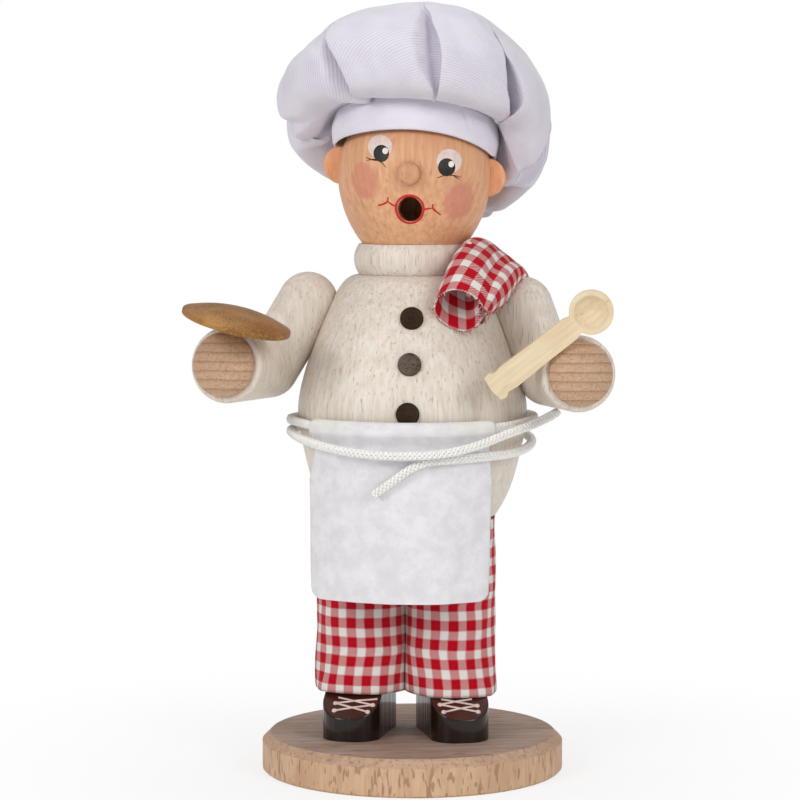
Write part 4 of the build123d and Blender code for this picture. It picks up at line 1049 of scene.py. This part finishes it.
def mouthRing(settings):
    # a ring of paint on the mouth's rim: r = reach + width s + waver sin 3t, for s from 0 to 1, in mm
    turn = np.linspace(0, 2 * math.pi, 96, endpoint=False)[None]
    shares = np.linspace(0, 1, 7)[:, None]
    reach = settings["reach"] + settings["width"] * shares + settings["waver"] * np.sin(3 * turn)
    x, z = settings["middle"][0] + reach * np.cos(turn), settings["middle"][1] + reach * np.sin(turn)
    y = -np.sqrt(headReach(z) ** 2 - (x - headSettings["axis"]) ** 2)
    places = np.stack([x, y, z], -1)
    places = places + headNormal(places) * (settings["lift"] * np.sin(math.pi * shares)[..., None] + 0.01)
    return newPiece("mouthRing", places, gridFaces(*places.shape[:2], closed=True, flip=True), "lips", "upper_body")


mouthRing(mouthSettings)
print("stage: face")

# Shoe laces: dots on the instep joined by crossing cords, placed by pixel on each instep's plane
laceSettings = {
    "right": {"leg": -12.7, "turn": -9.0, "dots": ((335.6, 703.2), (372.8, 705.2), (334.2, 710.6), (367.6, 712.0)),
              "top": ((338.6, 697.6), (377.4, 699.2))},
    "left": {"leg": 9.5, "turn": 16.0, "dots": ((440.0, 704.8), (477.2, 705.8), (443.8, 712.2), (478.2, 712.0)),
             "top": ((441.0, 699.4), (471.6, 699.2))},
    "dot": 0.62, "dotHeight": 0.42, "cord": 0.24, "cordHeight": 0.3, "crossing": 0.12,
    "toeReach": 16.4, "toeTop": 9.15 + 5.7, "rise": 36,
}


def onInstep(pixels, leg, turn):
    # the shoe's instep is a plane that rises 36 degrees from the toe, turned out about the leg
    lean = math.radians(turn)
    toeReach = laceSettings["toeReach"]
    toe = np.array([leg + toeReach * math.sin(lean), -toeReach * math.cos(lean), laceSettings["toeTop"]])
    rise = math.radians(laceSettings["rise"])
    forward = np.array([math.sin(lean), -math.cos(lean), 0])
    normal = forward * math.sin(rise) + np.array([0, 0, math.cos(rise)])
    way = rays(pixels)
    reach = ((toe - cameraPlace) @ normal) / (way @ normal)
    return cameraPlace + way * reach[..., None], normal


def lumps(name, middles, normal, reach, height, material, body):
    # flattened round drops on a surface: reach cos a across it and height sin a out of it
    rows, columns = 7, 20
    around, up = np.meshgrid(np.linspace(0, 2 * math.pi, columns, endpoint=False), np.linspace(0, math.pi / 2, rows))
    first = unit(np.cross(normal, (0.3, 0.2, 0.9)))
    second = np.cross(normal, first)
    flat = reach * np.cos(up)
    shape = (flat * np.cos(around))[..., None] * first + (flat * np.sin(around))[..., None] * second
    shape = shape + (height * np.sin(up))[..., None] * normal
    places = np.asarray(middles)[:, None, None] + shape
    faces = repeated(gridFaces(rows, columns, closed=True), len(middles), rows * columns)
    return newPiece(name, places, faces, material, body)


def laces(side, settings):
    dots, normal = onInstep(settings["dots"], settings["leg"], settings["turn"])
    top, _ = onInstep(settings["top"], settings["leg"], settings["turn"])
    lumps("laceDots_" + side, dots, normal, laceSettings["dot"], laceSettings["dotHeight"], "lace", "lower_body")
    # low round ridges from end to end, of which every second one rises over the one that it crosses
    ends = ((top[0], dots[1]), (top[1], dots[0]), (dots[0], dots[3]), (dots[1], dots[2]))
    rows, columns = 24, 9
    share = np.linspace(0, 1, rows)[:, None]
    section = np.linspace(0, math.pi, columns)
    places = []
    for number, (start, end) in enumerate(ends):
        over = laceSettings["crossing"] * (number % 2) * np.sin(math.pi * share) ** 4
        line = start + (end - start) * share + normal * over
        cordSide = unit(np.cross(end - start, normal))
        places.append(line[:, None] + laceSettings["cord"] * np.cos(section)[:, None] * cordSide
                      + (laceSettings["cordHeight"] * np.sin(section) + 0.01)[:, None] * normal)
    faces = repeated(gridFaces(rows, columns), len(ends), rows * columns)
    return newPiece("laces_" + side, places, faces, "lace", "lower_body")


for side in ("right", "left"):
    laces(side, laceSettings[side])

# A bead of glue under the towel's inner edge
glueSettings = {"middle": (14.6, -12.6, 131.2), "way": (-0.3, -0.9, 0.2), "reach": 0.7, "height": 0.6}
lumps("glueBead", [glueSettings["middle"]], unit(np.array(glueSettings["way"])), glueSettings["reach"],
      glueSettings["height"], "glue", "upper_body")

# Frayed threads at the towel's cut edges: each is a thin square rod that bends with the square of its share
fraySettings = {"radius": 0.07, "length": 0.9, "front": {"count": 230, "seed": 3},
                "side": {"count": 200, "seed": 4, "rows": 70, "way": (0.5, -0.3, -0.8)}}


def frays(name, starts, ways, count, length, seed):
    chance = np.random.default_rng(seed)
    pick = chance.integers(0, len(starts), count)
    start = starts[pick]
    way = unit(ways[pick] + chance.normal(0, 0.45, (count, 3)))
    bend = chance.normal(0, 0.35, (count, 3))
    rows, corners = 6, 4
    share = np.linspace(-0.25, 1, rows)[None, :, None]
    reach = (length * chance.uniform(0.4, 1.0, count))[:, None, None]
    line = start[:, None] + reach * (way[:, None] * share + bend[:, None] * share**2 * (share > 0))
    first = unit(np.cross(way, (0.21, 0.43, 0.87)))
    second = np.cross(way, first)
    turn = np.arange(corners) * math.pi / 2
    ring = fraySettings["radius"] * (np.cos(turn)[:, None, None] * first + np.sin(turn)[:, None, None] * second)
    places = line[:, :, None] + np.moveaxis(ring, 0, 1)[:, None]
    one = gridFaces(rows, corners, closed=True)
    faces = repeated(one, count, rows * corners)
    cloth = np.repeat(np.where(chance.uniform(size=count) < 0.6, 1.0, 3.3), len(one) * 4)
    return newPiece(name, places, faces, "gingham", "upper_body", np.stack([cloth, cloth], 1))


frontFray, sideFray = fraySettings["front"], fraySettings["side"]
frontEdge = towelPlaces[0]
sideEdge = towelPlaces[:sideFray["rows"], 0]
frays("towelFrayFront", frontEdge, np.repeat(-towelWay[:1], len(frontEdge), axis=0), frontFray["count"],
      fraySettings["length"], frontFray["seed"])
frays("towelFraySide", sideEdge, np.repeat([sideFray["way"]], len(sideEdge), axis=0), sideFray["count"],
      fraySettings["length"], sideFray["seed"])
print("stage: laces and frays")

# Stage: a pale floor, soft lamps on both sides of the camera and one above, and a white surround
stageSettings = {
    "floor": 30.0, "floorShare": 0.72, "world": 0.42,
    "lamps": (((-0.9, -1.1, 0.75), 0.65, 8.2), ((0.95, -1.05, 0.7), 0.65, 6.5), ((0.0, 0.2, 1.5), 1.2, 6.4)),
}


def floorMaterial():
    # white to the camera, and still darkened where the figure stands
    material = bpy.data.materials.new("floorPaper")
    material.use_nodes = True
    tree = material.node_tree
    tree.nodes.clear()
    place = objectPlace(tree)
    grain = noise(tree, place, 40, 3)
    away = put(tree, "ShaderNodeVectorMath", {0: place}, operation="LENGTH").outputs["Value"]
    colour = blended(tree, grain, tint(246, 246, 246), tint(250, 250, 250))
    paper = put(tree, "ShaderNodeBsdfDiffuse", {"Color": colour}).outputs[0]
    glow = put(tree, "ShaderNodeEmission", {"Color": (1, 1, 1, 1), "Strength": 1.0}).outputs[0]
    seen = put(tree, "ShaderNodeLightPath").outputs
    direct = sums(tree, "MINIMUM", sums(tree, "ADD", seen["Is Camera Ray"], sums(
        tree, "ADD", seen["Is Glossy Ray"], seen["Is Transmission Ray"])), 1.0)
    share = sums(tree, "MULTIPLY", direct, between(tree, away, 0.035, 0.16, stageSettings["floorShare"], 1.0))
    mixed = put(tree, "ShaderNodeMixShader", {0: share, 1: paper, 2: glow}).outputs[0]
    put(tree, "ShaderNodeOutputMaterial", {"Surface": mixed})
    return material


half = stageSettings["floor"] / 2
floorMesh = bpy.data.meshes.new("floor")
floorMesh.from_pydata([(-half, -half, 0), (half, -half, 0), (half, half, 0), (-half, half, 0)], [], [(0, 1, 2, 3)])
floorMesh.materials.append(floorMaterial())
floor = bpy.data.objects.new("floor", floorMesh)
scene.collection.objects.link(floor)

world = bpy.data.worlds.new("surround")
scene.world = world
world.use_nodes = True
worldTree = world.node_tree
worldTree.nodes.clear()
seen = put(worldTree, "ShaderNodeLightPath").outputs
direct = sums(worldTree, "MINIMUM", sums(worldTree, "ADD", seen["Is Camera Ray"], seen["Is Transmission Ray"]), 1.0)
softLight = put(worldTree, "ShaderNodeBackground", {"Color": (1, 1, 1, 1), "Strength": stageSettings["world"]})
white = put(worldTree, "ShaderNodeBackground", {"Color": (1, 1, 1, 1), "Strength": 1.0})
surround = put(worldTree, "ShaderNodeMixShader", {0: direct, 1: softLight.outputs[0], 2: white.outputs[0]})
put(worldTree, "ShaderNodeOutputWorld", {"Surface": surround.outputs[0]})

for number, (place, size, power) in enumerate(stageSettings["lamps"]):
    lamp = bpy.data.lights.new(f"lamp_{number}", "AREA")
    lamp.shape = "DISK"
    lamp.size = size
    lamp.energy = power
    holder = bpy.data.objects.new(f"lamp_{number}", lamp)
    holder.location = place
    holder.rotation_euler = (Vector((0, 0, 0.1)) - Vector(place)).to_track_quat("-Z", "Y").to_euler()
    scene.collection.objects.link(holder)
print("stage: lights")
